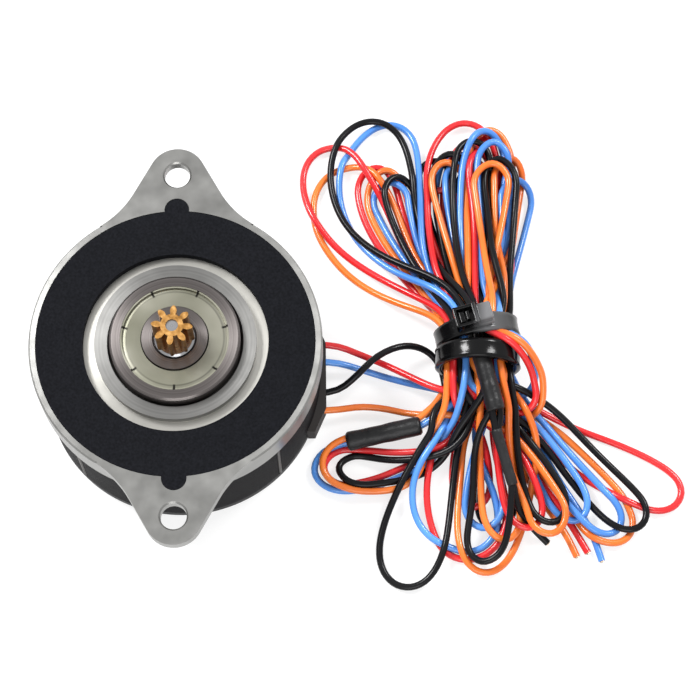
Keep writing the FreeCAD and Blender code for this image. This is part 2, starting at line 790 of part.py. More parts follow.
def pinion_shape():
    """The toothed blank: involute flanks from the base circle, radial feet and rounded tips."""
    count = DIMENSIONS["pinion_tooth_count"]
    pressure = math.radians(cell("pinion_pressure_angle").value)
    pitch_radius = cell("pinion_module").value * count / 2
    tip_radius = pitch_radius + cell("pinion_module").value
    base_radius = pitch_radius * math.cos(pressure)
    root_radius = pitch_radius - (cell("pinion_dedendum_ratio") * cell("pinion_module")).value
    rounding = cell("pinion_tip_rounding").value
    half_angle = math.pi / (2 * count) + math.tan(pressure) - pressure
    flank_steps = 5

    def flank_angle(radius):
        unrolled = math.sqrt(max((radius / base_radius) ** 2 - 1, 0.0))
        return half_angle - (unrolled - math.atan(unrolled))

    def at(radius, angle):
        return FreeCAD.Vector(radius * math.cos(angle), radius * math.sin(angle), 0)

    def tooth_points(middle, side):
        """The points of one flank from the root to where the tip is rounded off."""
        radii = [
            base_radius + (tip_radius - rounding - base_radius) * i / flank_steps
            for i in range(flank_steps + 1)
        ]
        foot = at(root_radius, middle + side * flank_angle(base_radius))
        return foot, [at(r, middle + side * flank_angle(r)) for r in radii]

    edges = []
    for i in range(count):
        middle = math.radians(cell("pinion_first_tooth_angle").value) + 2 * math.pi * i / count
        right_foot, right = tooth_points(middle, -1)
        left_foot, left = tooth_points(middle, 1)
        next_foot, _ = tooth_points(middle + 2 * math.pi / count, -1)
        tip_angle = flank_angle(tip_radius)
        right_flank, left_flank = Part.BSplineCurve(), Part.BSplineCurve()
        right_flank.interpolate(right)
        left_flank.interpolate(left[::-1])
        tip_start = at(tip_radius, middle - tip_angle / 2)
        tip_end = at(tip_radius, middle + tip_angle / 2)
        gap_middle = at(root_radius, middle + math.pi / count)
        edges += [
            Part.LineSegment(right_foot, right[0]).toShape(),
            right_flank.toShape(),
            Part.LineSegment(right[-1], tip_start).toShape(),
            Part.Arc(tip_start, at(tip_radius, middle), tip_end).toShape(),
            Part.LineSegment(tip_end, left[-1]).toShape(),
            left_flank.toShape(),
            Part.LineSegment(left[0], left_foot).toShape(),
            Part.Arc(left_foot, gap_middle, next_foot).toShape(),
        ]
    length = cell("pinion_length").value
    blank = Part.Face(Part.Wire(edges)).extrude(FreeCAD.Vector(0, 0, length))
    blank.translate(FreeCAD.Vector(0, 0, pinion_bottom.value))
    hole_radius = stub_radius.value + bore_fit.value
    hole_start = FreeCAD.Vector(0, 0, pinion_bottom.value - 1)
    return blank.cut(Part.makeCylinder(hole_radius, length + 2, hole_start))


plain_feature("pinion", pinion_shape())

# Ball bearings
# Each has two ground rings, balls in a snap cage and a crimped steel shield on both sides.


def bearing(prefix, bottom, bore):
    """The five nodes of one bearing on a shaft, from the height of its lower face."""

    def of(name):
        return cell(f"{prefix}_{name}")

    outside = of("diameter") / 2
    width = of("width")
    top = bottom + width
    middle = bottom + width / 2
    inner_land = bore + of("inner_wall")
    outer_land = outside - of("outer_wall")
    seat = outer_land + of("seat_step")
    depth = cell("shield_depth")
    edge = cell("bearing_ring_chamfer")
    ball_radius = of("ball_radius").value
    pitch_radius = (inner_land.value + outer_land.value) / 2
    race_radius = ball_radius + cell("ball_clearance").value
    centre = FreeCAD.Vector(pitch_radius, 0, middle.value)
    spin_axis = FreeCAD.Vector(0, 0, 1)

    outer_blank = turned(
        f"{prefix}_outer_ring",
        [
            (outer_land, bottom + depth),
            (seat, bottom + depth),
            (seat, bottom),
            (outside - edge, bottom),
            (outside, bottom + edge),
            (outside, top - edge),
            (outside - edge, top),
            (seat, top),
            (seat, top - depth),
            (outer_land, top - depth),
        ],
    )
    inner_blank = turned(
        f"{prefix}_inner_ring",
        [
            (bore + bore_fit, bottom + edge),
            (bore + bore_fit + edge, bottom),
            (inner_land, bottom),
            (inner_land, top),
            (bore + bore_fit + edge, top),
            (bore + bore_fit, top - edge),
        ],
    )
    for body in (outer_blank, inner_blank):
        sketch = new_sketch(body, f"{body.Label}_race", "XZ_Plane")
        pitch = (inner_land + outer_land) / 2
        round_outline(sketch, of("ball_radius") + cell("ball_clearance"), pitch, middle)
        document.recompute()
        before = body.Shape.Volume
        race = body.newObject("PartDesign::Groove", f"{body.Label}_groove")
        race.Profile = sketch
        race.ReferenceAxis = (sketch, ["V_Axis"])
        race.Angle = 360
        document.recompute()
        if not body.Shape.Volume < before:
            raise RuntimeError(f"{race.Name} cuts nothing")

    count = DIMENSIONS[f"{prefix}_ball_count"]
    ball = Part.makeSphere(ball_radius, centre)
    plain_feature(f"{prefix}_balls", turned_copies(ball, count))

    cage_wall = (outer_land.value - inner_land.value) * 0.2
    cage_low = middle.value - 0.35 * ball_radius
    cage_high = middle.value + 1.25 * ball_radius
    cage = Part.makeCylinder(
        pitch_radius + cage_wall, cage_high - cage_low, FreeCAD.Vector(0, 0, cage_low)
    ).cut(
        Part.makeCylinder(
            pitch_radius - cage_wall, cage_high - cage_low, FreeCAD.Vector(0, 0, cage_low)
        )
    )
    for pocket_ball in turned_copies(Part.makeSphere(race_radius, centre), count).Solids:
        cage = cage.cut(pocket_ball)
    plain_feature(f"{prefix}_cage", cage)

    shield_inner = inner_land.value + cell("shield_clearance").value
    flat = seat.value - of("shield_slope").value
    thick = cell("shield_thickness").value
    sink = cell("shield_sink").value
    rim = seat.value - bore_fit.value
    drop = depth.value

    def shield(face, inward):
        """A dished disc, its face a little under the ring's face and its rim crimped in the seat."""
        section = [
            (shield_inner, sink),
            (flat, sink),
            (rim - thick, drop - thick),
            (rim - thick, 0.25 * thick),
            (rim, 0.25 * thick),
            (rim, drop),
            (rim - 1.3 * thick, drop),
            (flat - 0.5 * thick, sink + thick),
            (shield_inner, sink + thick),
        ]
        points = [FreeCAD.Vector(r, 0, face + inward * z) for r, z in section]
        disc = Part.Face(Part.makePolygon(points + points[:1]))
        solid = disc.revolve(FreeCAD.Vector(), spin_axis, 360)
        notch_width = cell("shield_notch_width").value
        notch = Part.makeBox(
            2 * thick,
            notch_width,
            0.7 * drop,
            FreeCAD.Vector(rim - 1.6 * thick, -notch_width / 2, face - 0.35 * drop),
        )
        notches = DIMENSIONS["shield_notch_count"]
        cutters = turned_copies(notch, notches, 270.0)
        return solid.cut(cutters)

    shields = [shield(top.value, -1), shield(bottom.value, 1)]
    plain_feature(f"{prefix}_shields", Part.makeCompound(shields))


bearing("front_bearing", bearing_bottom, shaft_radius)
bearing("rear_bearing", rear_bearing_bottom, journal_radius)

# Rear cover
# A black cast cover with the rear bearing's pocket and four sunk screw holes.

edge = cell("cover_edge_chamfer")
cover_spigot_top = cover_top + cell("spigot_height")

rear_cover = turned(
    "rear_cover",
    [
        (0, 0),
        (stack_radius - edge, 0),
        (stack_radius, edge),
        (stack_radius, cover_top),
        (spigot_radius, cover_top),
        (spigot_radius, cover_spigot_top),
        (spigot_inner_radius, cover_spigot_top),
        (spigot_inner_radius, cover_top),
        (boss_outer, cover_top),
        (boss_outer, rear_bearing_top),
        (boss_inner, rear_bearing_top),
        (boss_inner, washer_floor),
        (0, washer_floor),
    ],
)
key_gap_sketch = new_sketch(rear_cover, "spigot_gap_plan", level=cover_top)
rectangle(key_gap_sketch, exit_inner - exit_gap, stack_radius, exit_half + exit_gap)
pocket(rear_cover, key_gap_sketch, cell("spigot_height"), up=True)

head_radius = cell("screw_head_diameter") / 2
head_depth = cell("screw_head_height") + cell("screw_head_sink")
for name, radius, depth in (
    ("screw_hole", screw_hole_radius, cover_top),
    ("screw_head_sink", head_radius + cell("screw_clearance"), head_depth),
):
    hole_sketch = new_sketch(rear_cover, f"{name}_plan")
    round_outline(hole_sketch, radius, *screw_point)
    around_shaft(rear_cover, [pocket(rear_cover, hole_sketch, depth, up=True)], screw_count)

# Cover screws
# Four M2 screws with hexagon sockets, through the slots between coils into the flange.


def screw_shape():
    sink = cell("screw_head_sink").value
    head_height = cell("screw_head_height").value
    tip = (flange_bottom + tapped_depth - cell("screw_head_sink")).value
    up = FreeCAD.Vector(0, 0, 1)
    head = Part.makeCylinder(head_radius.value, head_height, FreeCAD.Vector(0, 0, sink))
    shank_start = FreeCAD.Vector(0, 0, sink + head_height)
    shank = Part.makeCylinder(screw_radius.value, tip - shank_start.z, shank_start)
    corner_radius = cell("screw_socket_width").value / math.sqrt(3)
    corners = [
        FreeCAD.Vector(
            corner_radius * math.cos(math.radians(60 * i)),
            corner_radius * math.sin(math.radians(60 * i)),
            0,
        )
        for i in range(7)
    ]
    socket = Part.Face(Part.makePolygon(corners)).extrude(
        up * (sink + cell("screw_socket_depth").value)
    )
    screw = head.fuse(shank).removeSplitter().cut(socket)
    screw.translate(FreeCAD.Vector(screw_point[0].value, screw_point[1].value, 0))
    return screw


plain_feature("cover_screws", turned_copies(screw_shape(), screw_count))

# Wave washer
# A spring washer that takes up the end play behind the rear bearing.


def wave_washer_shape():
    waves = DIMENSIONS["washer_wave_count"]
    thickness = cell("washer_thickness").value
    room = cell("washer_room").value
    clearance = cell("ball_clearance").value
    swing = (room - thickness) / 2 - clearance
    middle = washer_floor.value + room / 2
    radii = (boss_inner.value - 1.0, boss_inner.value - 0.1)
    steps = 8 * waves

    def wave(radius, height):
        points = []
        for i in range(steps):
            angle = 2 * math.pi * i / steps
            lift = height + swing * math.sin(waves * angle)
            points.append(FreeCAD.Vector(radius * math.cos(angle), radius * math.sin(angle), lift))
        curve = Part.BSplineCurve()
        curve.interpolate(Points=points, PeriodicFlag=True)
        return curve.toShape()

    low = [wave(radius, middle - thickness / 2) for radius in radii]
    high = [wave(radius, middle + thickness / 2) for radius in radii]
    sides = [
        Part.makeRuledSurface(low[0], low[1]),
        Part.makeRuledSurface(high[0], high[1]),
        Part.makeRuledSurface(low[0], high[0]),
        Part.makeRuledSurface(low[1], high[1]),
    ]
    solid = Part.makeSolid(Part.makeShell([face for side in sides for face in side.Faces]))
    return solid if solid.Volume > 0 else solid.reversed()


plain_feature("wave_washer", wave_washer_shape())

# Lead exit
# A moulded block in the stack's notch, with four sockets for the leads.

exit_bottom = cell("exit_bottom")
exit_shoulder = exit_reach - cell("exit_shoulder_drop")
inner_row, outer_row = cell("lead_inner_offset"), cell("lead_outer_offset")
lead_rows = (outer_row, inner_row, -inner_row, -outer_row)

lead_exit = new_body("lead_exit")
block_sketch = new_sketch(lead_exit, "exit_block_plan", level=exit_bottom)
straight_outline(
    block_sketch,
    [
        (exit_inner, -exit_half),
        (exit_shoulder, -exit_half),
        (exit_reach, -exit_face_half),
        (exit_reach, exit_face_half),
        (exit_shoulder, exit_half),
        (exit_inner, exit_half),
    ],
)
pad(lead_exit, block_sketch, exit_top - exit_bottom)
seat_sketch = new_sketch(lead_exit, "exit_seat_plan", level=exit_bottom)
round_outline(seat_sketch, stack_radius + exit_gap)
pocket(lead_exit, seat_sketch, cover_top + exit_gap - exit_bottom, up=True)
for number, row in enumerate(lead_rows):
    socket_sketch = new_sketch(
        lead_exit, f"lead_socket_{number}", "YZ_Plane", level=exit_reach
    )
    socket_radius = lead_radius + cell("lead_socket_clearance")
    round_outline(socket_sketch, socket_radius, row, cell("lead_height"))
    pocket(lead_exit, socket_sketch, cell("lead_socket_depth"))

# Leads
# Four limp leads cross the gap from the exit to the tied hank. Each tube is straight runs joined by
# tangent arcs, through points chosen by hand.

socket_floor = (exit_reach - cell("lead_socket_depth")).value
mouth = (exit_reach + cell("lead_socket_depth")).value
exit_height = cell("lead_height").value
exit_rows = [row.value for row in lead_rows]
LEAD_ROUTES = {
    "lead_red": [
        (socket_floor, exit_rows[0], exit_height),
        (mouth, exit_rows[0], exit_height),
        (22.4, 3.2, 1.7),
        (25.6, 1.7, 2.0),
        (28.8, -0.3, 3.0),
        (31.6, -2.1, 4.0),
        (34.4, -3.1, 4.6),
    ],
    "lead_blue": [
        (socket_floor, exit_rows[1], exit_height),
        (mouth, exit_rows[1], exit_height),
        (22.6, 1.35, 1.0),
        (25.9, 0.3, 0.65),
        (29.2, -0.75, 1.0),
        (32.0, -1.8, 2.2),
        (34.8, -2.9, 3.2),
    ],
    "lead_black": [
        (socket_floor, exit_rows[2], exit_height),
        (mouth, exit_rows[2], exit_height),
        (21.9, -0.6, 3.5),
        (24.4, 1.95, 4.0),
        (27.2, 3.5, 3.6),
        (29.5, 4.0, 2.5),
        (31.4, 3.5, 1.5),
        (32.7, 2.2, 0.85),
        (33.3, 0.4, 0.6),
        (33.5, -1.6, 0.65),
        (34.3, -3.8, 1.4),
    ],
    "lead_orange": [
        (socket_floor, exit_rows[3], exit_height),
        (mouth, exit_rows[3], exit_height),
        (22.4, -3.75, 1.4),
        (25.6, -4.0, 1.2),
        (28.6, -4.9, 1.5),
        (31.4, -5.4, 2.6),
        (34.2, -5.6, 3.4),
    ],
}


def lead_path(label, points):
    """Straight runs joined by tangent arcs as large as the runs allow."""
    points = [FreeCAD.Vector(*point) for point in points]
    edges, radii = [], []
    start = points[0]
    for before, corner, after in zip(points, points[1:], points[2:]):
        incoming, outgoing = corner - before, after - corner
        shorter = min(incoming.Length, outgoing.Length)
        turn = incoming.getAngle(outgoing)
        cut = 0.45 * shorter
        radius = cut / math.tan(turn / 2)
        arc_start = corner - incoming.normalize() * cut
        arc_end = corner + outgoing.normalize() * cut
        inward = (arc_end - corner + arc_start - corner).normalize()
        depth = radius / math.cos(turn / 2) - radius
        edges.append(Part.LineSegment(start, arc_start).toShape())
        edges.append(Part.Arc(arc_start, corner + inward * depth, arc_end).toShape())
        radii.append(round(radius, 1))
        start = arc_end
    edges.append(Part.LineSegment(start, points[-1]).toShape())
    print(label, "bend radii", radii)
    return Part.Wire(edges)


def lead_tube(label, points):
    path = lead_path(label, points)
    radius = lead_radius.value
    direction = path.Edges[0].tangentAt(path.Edges[0].FirstParameter)
    section = Part.Wire(Part.makeCircle(radius, path.Vertexes[0].Point, direction))
    tube = path.makePipeShell([section], True, True)
    expected = math.pi * radius**2 * path.Length
    if abs(tube.Volume - expected) > 0.01 * expected:
        raise RuntimeError(f"{label} has a volume of {tube.Volume}, expected {expected}")
    return tube


for label, points in LEAD_ROUTES.items():
    plain_feature(label, lead_tube(label, points))

# Splice sleeves
# Shrunk tubes over the joints in the leads: two wide ones and one on the black lead alone.

splice_radius = cell("splice_sleeve_radius").value
small_radius = cell("small_sleeve_radius").value
SLEEVES = (
    ((20.8, -8.6, 1.9), (30.2, -7.0, 3.4), splice_radius),
    ((37.4, -1.2, 9.9), (39.6, -5.8, 8.2), splice_radius),
    ((39.2, -8.8, 7.4), (41.4, -15.6, 5.6), small_radius),
)


def sleeve_shape(start, end, radius):
    start, end = FreeCAD.Vector(*start), FreeCAD.Vector(*end)
    return Part.makeCylinder(radius, (end - start).Length, start, end - start)


sleeves = [sleeve_shape(*sleeve) for sleeve in SLEEVES]
plain_feature("splice_sleeves", Part.makeCompound(sleeves))

# Lead hank
# The outer shape of the folded bundle: a tied waist and a flat fan of loops on both sides of it.

strap_thickness = cell("strap_thickness").value
waist_radius = cell("waist_radius").value
waist_x = 37.5
waist_height = waist_radius + strap_thickness + 0.1
waist_stations = (-1.6, 7.0)
floor_gap = 0.1
hank_sides = 16

# Each station of the hank is (y, middle x, half width, height).
LOWER_FAN = (
    (-28.5, 34.5, 4.5, 1.6),
    (-27.0, 38.5, 11.0, 3.0),
    (-23.5, 42.0, 16.5, 4.4),
    (-19.0, 44.0, 19.0, 5.4),
    (-15.0, 41.0, 22.0, 6.6),
    (-11.0, 37.8, 19.0, 8.0),
    (-7.0, 37.5, 12.5, 9.4),
    (-3.6, 37.5, 6.2, 10.2),
)
UPPER_FAN = (
    (9.2, 37.2, 6.0, 10.2),
    (12.5, 34.5, 11.0, 9.0),
    (17.0, 32.0, 14.6, 7.8),
    (22.0, 31.4, 15.6, 6.8),
    (28.0, 31.6, 15.8, 5.6),
    (33.0, 31.6, 13.6, 4.4),
    (36.0, 30.4, 9.5, 3.2),
    (37.6, 29.5, 5.0, 1.8),
)


def hank_section(y, x, half_width, height, low=floor_gap):
    """A closed upright oval whose lowest point is a little above the surface it lies on."""
    points = []
    for i in range(hank_sides):
        angle = 2 * math.pi * (i + 0.5) / hank_sides
        across = x + half_width * math.cos(angle)
        points.append(FreeCAD.Vector(across, y, low + height / 2 * (1 + math.sin(angle))))
    return Part.makePolygon(points + points[:1])


def hank_shape():
    low = waist_height - waist_radius
    waist = [
        hank_section(y, waist_x, waist_radius, 2 * waist_radius, low) for y in waist_stations
    ]
    lower = [hank_section(*station) for station in LOWER_FAN]
    upper = [hank_section(*station) for station in UPPER_FAN]
    return Part.makeLoft(lower + waist + upper, True, True).cut(sleeves)


hank = plain_feature("lead_hank", hank_shape())

# Cable tie
# A nylon strap wound twice round the waist, with its head on top of the upper turn.

strap_width = cell("strap_width").value
upper_turn, lower_turn = 4.2, 0.9


def strap_turn(y, tilt):
    """One turn of the strap at a place along the waist, square to it but for a tilt."""
    inner = waist_radius - 0.2
    start = FreeCAD.Vector(0, -strap_width / 2, 0)
    along = FreeCAD.Vector(0, 1, 0)
    band = Part.makeCylinder(waist_radius + strap_thickness, strap_width, start, along)
    band = band.cut(Part.makeCylinder(inner, strap_width, start, along))
    band.rotate(FreeCAD.Vector(), FreeCAD.Vector(0, 0, 1), tilt)
    band.translate(FreeCAD.Vector(waist_x, y, waist_height))
    return band


def tie_head():
    """The head with the slot that the strap's tail passes through."""
    width = cell("tie_head_width").value
    length = cell("tie_head_length").value
    height = cell("tie_head_height").value
    block = Part.makeBox(width, length, height, FreeCAD.Vector(-width / 2, -length / 2, 0))
    uprights = [e for e in block.Edges if abs(e.tangentAt(0).z) > 0.9]
    block = block.makeFillet(0.5, uprights)
    slot_height = 1.15 * strap_thickness
    slot = Part.makeBox(
        0.35 * width,
        0.72 * length,
        slot_height,
        FreeCAD.Vector(-width / 2 - 0.01, -0.36 * length, height - slot_height - 0.6),
    )
    head = block.cut(slot)
    head.rotate(FreeCAD.Vector(), FreeCAD.Vector(0, 0, 1), 12.0)
    head.translate(FreeCAD.Vector(waist_x - 0.8, upper_turn + 0.9, waist_height + waist_radius + 0.3))
    return head


tilt = cell("strap_tilt").value
strap = strap_turn(upper_turn, tilt).fuse([strap_turn(lower_turn, -0.2 * tilt), tie_head()])
plain_feature("cable_tie", strap.removeSplitter().cut(hank.Shape))

# Check and write
document.recompute()
for item in document.Objects:
    if "Invalid" in item.State or "Error" in item.State:
        raise RuntimeError(f"{item.Label} did not compute: {item.State}")
for piece in made:
    shape = piece.Shape
    if shape.isNull() or not shape.isValid() or not shape.Solids:
        raise RuntimeError(f"{piece.Label} is not a valid solid")
for piece in made:
    piece.Shape.exportStep(f"parts/{piece.Label}.step")
    print(piece.Label, len(piece.Shape.Solids), round(piece.Shape.Volume, 2))
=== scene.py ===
import math

import bmesh
import bpy
import numpy as np
from mathutils import Matrix, Vector


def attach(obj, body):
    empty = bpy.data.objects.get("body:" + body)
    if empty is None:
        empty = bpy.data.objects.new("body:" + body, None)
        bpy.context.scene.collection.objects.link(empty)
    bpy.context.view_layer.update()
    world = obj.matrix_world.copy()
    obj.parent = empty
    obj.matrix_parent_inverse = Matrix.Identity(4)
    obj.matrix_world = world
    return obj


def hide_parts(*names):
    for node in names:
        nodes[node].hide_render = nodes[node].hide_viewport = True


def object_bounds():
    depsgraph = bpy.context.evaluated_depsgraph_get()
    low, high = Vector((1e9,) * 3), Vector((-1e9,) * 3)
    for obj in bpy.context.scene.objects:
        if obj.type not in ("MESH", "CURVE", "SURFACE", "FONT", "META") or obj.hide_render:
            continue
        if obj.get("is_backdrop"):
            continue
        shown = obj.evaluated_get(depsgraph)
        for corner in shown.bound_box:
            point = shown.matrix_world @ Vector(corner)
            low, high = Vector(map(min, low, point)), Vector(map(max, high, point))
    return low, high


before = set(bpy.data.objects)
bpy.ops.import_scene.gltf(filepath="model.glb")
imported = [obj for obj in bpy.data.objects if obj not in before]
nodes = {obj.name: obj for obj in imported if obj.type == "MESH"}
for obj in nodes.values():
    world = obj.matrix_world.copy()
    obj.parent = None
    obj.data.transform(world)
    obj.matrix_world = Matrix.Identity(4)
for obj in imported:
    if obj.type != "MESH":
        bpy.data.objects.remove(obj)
cad_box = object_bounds()

# Rear cover
# A black powder-coated steel lid that closes the motor's back and carries the small bearing.
# The coat has a fine orange-peel skin, which the moulded and coated pieces of this motor share.


def shader_group(name, numbers, masks):
    """A node group from a place and named numbers to masks, and its inner sockets."""
    group = bpy.data.node_groups.new(name, "ShaderNodeTree")
    group.interface.new_socket("Place", in_out="INPUT", socket_type="NodeSocketVector")
    for label, value in numbers.items():
        number = group.interface.new_socket(label, in_out="INPUT", socket_type="NodeSocketFloat")
        number.default_value = value
    for label in masks:
        group.interface.new_socket(label, in_out="OUTPUT", socket_type="NodeSocketFloat")
    sources = group.nodes.new("NodeGroupInput").outputs
    return group, sources, group.nodes.new("NodeGroupOutput").inputs


def feed(tree, target, source):
    """Joins a source to a socket, or sets the socket when the source is a plain value."""
    if isinstance(source, bpy.types.NodeSocket):
        tree.links.new(source, target)
    else:
        target.default_value = source


def noise(tree, place, scale, detail=2.0):
    """Soft noise between 0 and 1 over a place."""
    node = tree.nodes.new("ShaderNodeTexNoise")
    node.inputs["Detail"].default_value = detail
    feed(tree, node.inputs["Vector"], place)
    feed(tree, node.inputs["Scale"], scale)
    return node.outputs["Fac"]


def ramped(tree, value, *stops):
    """A colour from a value, through (place, red, green, blue) stops, the widest pair first."""
    node = tree.nodes.new("ShaderNodeValToRGB")
    for element, (place, *colour) in zip(node.color_ramp.elements, stops):
        element.position, element.color = place, (*colour, 1.0)
    for place, *colour in stops[2:]:
        node.color_ramp.elements.new(place).color = (*colour, 1.0)
    tree.links.new(value, node.inputs["Fac"])
    return node.outputs["Color"]


class Finish:
    """A Principled material on Object coordinates, with one grain group that varies it."""

    def __init__(self, name, group, roughness, metallic=0.0, shine=0.5, **numbers):
        self.material = bpy.data.materials.new(name)
        self.material.use_nodes = True
        self.tree = self.material.node_tree
        self.shader = self.tree.nodes["Principled BSDF"]
        self.shader.inputs["Roughness"].default_value = roughness
        self.shader.inputs["Metallic"].default_value = metallic
        self.shader.inputs["Specular IOR Level"].default_value = shine
        self.place = self.tree.nodes.new("ShaderNodeTexCoord").outputs["Object"]
        grain = self.tree.nodes.new("ShaderNodeGroup")
        grain.node_tree = group
        self.tree.links.new(self.place, grain.inputs["Place"])
        for label, value in numbers.items():
            grain.inputs[label.replace("_", " ")].default_value = value
        self.masks = grain.outputs

    def base(self, colour):
        """Base colour from a socket, which later mixes can start from."""
        self.colour = colour
        self.tree.links.new(colour, self.shader.inputs["Base Color"])
        return self

    def colours(self, mask, *stops):
        """Base colour from a mask, through (place, red, green, blue) stops."""
        return self.base(ramped(self.tree, self.masks[mask], *stops))

    def gloss(self, mask, low, high):
        """Roughness between two values, by a mask."""
        span = self.tree.nodes.new("ShaderNodeMapRange")
        span.inputs["To Min"].default_value = low
        span.inputs["To Max"].default_value = high
        self.tree.links.new(self.masks[mask], span.inputs["Value"])
        self.tree.links.new(span.outputs["Result"], self.shader.inputs["Roughness"])
        return self

    def relief(self, mask, depth, strength=1.0):
        """Bump of the given depth in metres, by a mask."""
        bump = self.tree.nodes.new("ShaderNodeBump")
        bump.inputs["Distance"].default_value = depth
        bump.inputs["Strength"].default_value = strength
        self.tree.links.new(self.masks[mask], bump.inputs["Height"])
        self.tree.links.new(bump.outputs["Normal"], self.shader.inputs["Normal"])
        return self

    def brushed(self, amount):
        """Draws the highlights out across the lathe's marks."""
        self.shader.inputs["Anisotropic"].default_value = amount
        self.shader.inputs["Anisotropic Rotation"].default_value = 0.25
        return self

    def dress(self, *names):
        """Gives CAD nodes this material."""
        for name in names:
            nodes[name].data.materials.clear()
            nodes[name].data.materials.append(self.material)
        return self


skin_grain, skin_in, skin_out = shader_group(
    "skin grain", {"Grains per metre": 1500.0, "Patches per metre": 120.0}, ("Grain", "Patches")
)
fine_grain = noise(skin_grain, skin_in["Place"], skin_in["Grains per metre"], 3.0)
wide_patches = noise(skin_grain, skin_in["Place"], skin_in["Patches per metre"])
feed(skin_grain, skin_out["Grain"], fine_grain)
feed(skin_grain, skin_out["Patches"], wide_patches)

cover_black = Finish("cover black", skin_grain, 0.5, shine=0.15, Grains_per_metre=2200.0)
cover_black.colours("Patches", (0.3, 0.009, 0.009, 0.01), (0.7, 0.015, 0.015, 0.016))
cover_black.gloss("Patches", 0.42, 0.55).relief("Grain", 0.00003, 0.5)
cover_black.dress("rear_cover")

# Cover screws
# Four socket-headed screws of black-oxide steel that pull the cover against the stack.

screw_steel = Finish("screw steel", skin_grain, 0.35, 0.9, Grains_per_metre=4000.0)
screw_steel.colours("Patches", (0.3, 0.05, 0.05, 0.055), (0.7, 0.09, 0.09, 0.095))
screw_steel.gloss("Patches", 0.28, 0.42).relief("Grain", 0.000008, 0.5)
screw_steel.dress("cover_screws")

# Turned steel pieces
# Shaft, bearing rings and balls, wave washer and rotor cups, turned or ground bright.
# Their marks are fine rings round the motor's axis, so one group of rings serves all of them.


def from_axis(tree, place):
    """How far a place is from the motor's axis."""
    flat = tree.nodes.new("ShaderNodeVectorMath")
    flat.operation = "MULTIPLY"
    flat.inputs[1].default_value = (1.0, 1.0, 0.0)
    tree.links.new(place, flat.inputs[0])
    outward = tree.nodes.new("ShaderNodeVectorMath")
    outward.operation = "LENGTH"
    tree.links.new(flat.outputs["Vector"], outward.inputs[0])
    return outward.outputs["Value"]


def axes(tree, place):
    """The X, Y and Z of a place."""
    apart = tree.nodes.new("ShaderNodeSeparateXYZ")
    tree.links.new(place, apart.inputs["Vector"])
    return apart.outputs


turned_rings, rings_in, rings_out = shader_group(
    "turned rings", {"Rings per metre": 6000.0, "Patches per metre": 150.0}, ("Rings", "Patches")
)
ring_place = turned_rings.nodes.new("ShaderNodeCombineXYZ")
feed(turned_rings, ring_place.inputs["X"], from_axis(turned_rings, rings_in["Place"]))
feed(turned_rings, ring_place.inputs["Y"], axes(turned_rings, rings_in["Place"])["Z"])
lathe_rings = noise(turned_rings, ring_place.outputs["Vector"], rings_in["Rings per metre"])
stains = noise(turned_rings, rings_in["Place"], rings_in["Patches per metre"])
feed(turned_rings, rings_out["Rings"], lathe_rings)
feed(turned_rings, rings_out["Patches"], stains)

shaft_steel = Finish("shaft steel", turned_rings, 0.22, 1.0, Rings_per_metre=5000.0)
shaft_steel.colours("Rings", (0.3, 0.26, 0.26, 0.27), (0.7, 0.4, 0.4, 0.41))
shaft_steel.gloss("Patches", 0.16, 0.3).relief("Rings", 0.000006, 0.6)
shaft_steel.dress("shaft", "front_bearing_balls", "rear_bearing_balls")

bearing_steel = Finish("bearing steel", turned_rings, 0.3, 1.0, Rings_per_metre=7000.0)
bearing_steel.colours("Rings", (0.3, 0.12, 0.108, 0.104), (0.7, 0.19, 0.172, 0.167))
bearing_steel.gloss("Patches", 0.24, 0.36).relief("Rings", 0.000006, 0.7).brushed(0.7)
bearing_steel.dress("front_bearing_outer_ring", "front_bearing_inner_ring")
bearing_steel.dress("rear_bearing_outer_ring", "rear_bearing_inner_ring", "wave_washer")

rotor_steel = Finish("rotor steel", turned_rings, 0.42, 0.95, Rings_per_metre=3000.0)
rotor_steel.colours("Rings", (0.3, 0.24, 0.24, 0.25), (0.7, 0.36, 0.36, 0.37))
rotor_steel.gloss("Patches", 0.34, 0.5).relief("Rings", 0.00001, 0.6)
rotor_steel.dress("rear_rotor_cup", "front_rotor_cup")

# Rotor magnet
# A plain ring magnet between the two cups, plated with nickel.

magnet_nickel = Finish("magnet nickel", skin_grain, 0.25, 1.0)
magnet_nickel.colours("Patches", (0.3, 0.52, 0.5, 0.46), (0.7, 0.62, 0.6, 0.56))
magnet_nickel.gloss("Grain", 0.2, 0.32).dress("rotor_magnet")

# Ball cages
# Moulded nylon crowns that hold the balls apart.

cage_nylon = Finish("cage nylon", skin_grain, 0.5)
cage_nylon.colours("Patches", (0.3, 0.62, 0.56, 0.42), (0.7, 0.7, 0.64, 0.5))
cage_nylon.gloss("Patches", 0.42, 0.55).relief("Grain", 0.00001, 0.5)
cage_nylon.dress("front_bearing_cage", "rear_bearing_cage")

# Bearing shields
# Pressed zinc-plated steel discs snapped into the bearings, with a pale yellow-green passivate.
# Over the pressed steps, painted shade darkens the hole's edge, a groove and the rim's gap, a
# painted highlight lightens the lip, and seven short notches cut the rim, painted dark as their
# shade.

SHIELD_RADII = (0.004, 0.0068)
# Painted light and shade by share of radius: dark at hole, groove and rim, brightest on the lip.
SHIELD_PAINTED_LIGHT = ((0.04, 0.12), (0.07, 0.82), (0.66, 0.9), (0.72, 0.55), (0.78, 1.0), (0.93, 1.0))
NOTCHES = 7.0
NOTCH_SIDES = (0.465, 0.485)
NOTCH_RADII = (0.0058, 0.006)
NOTCH_SHADE = (0.015, 0.014, 0.012, 1.0)


def worked(tree, operation, first, second):
    """The result of a Math node on two sources."""
    node = tree.nodes.new("ShaderNodeMath")
    node.operation = operation
    feed(tree, node.inputs[0], first)
    feed(tree, node.inputs[1], second)
    return node.outputs["Value"]


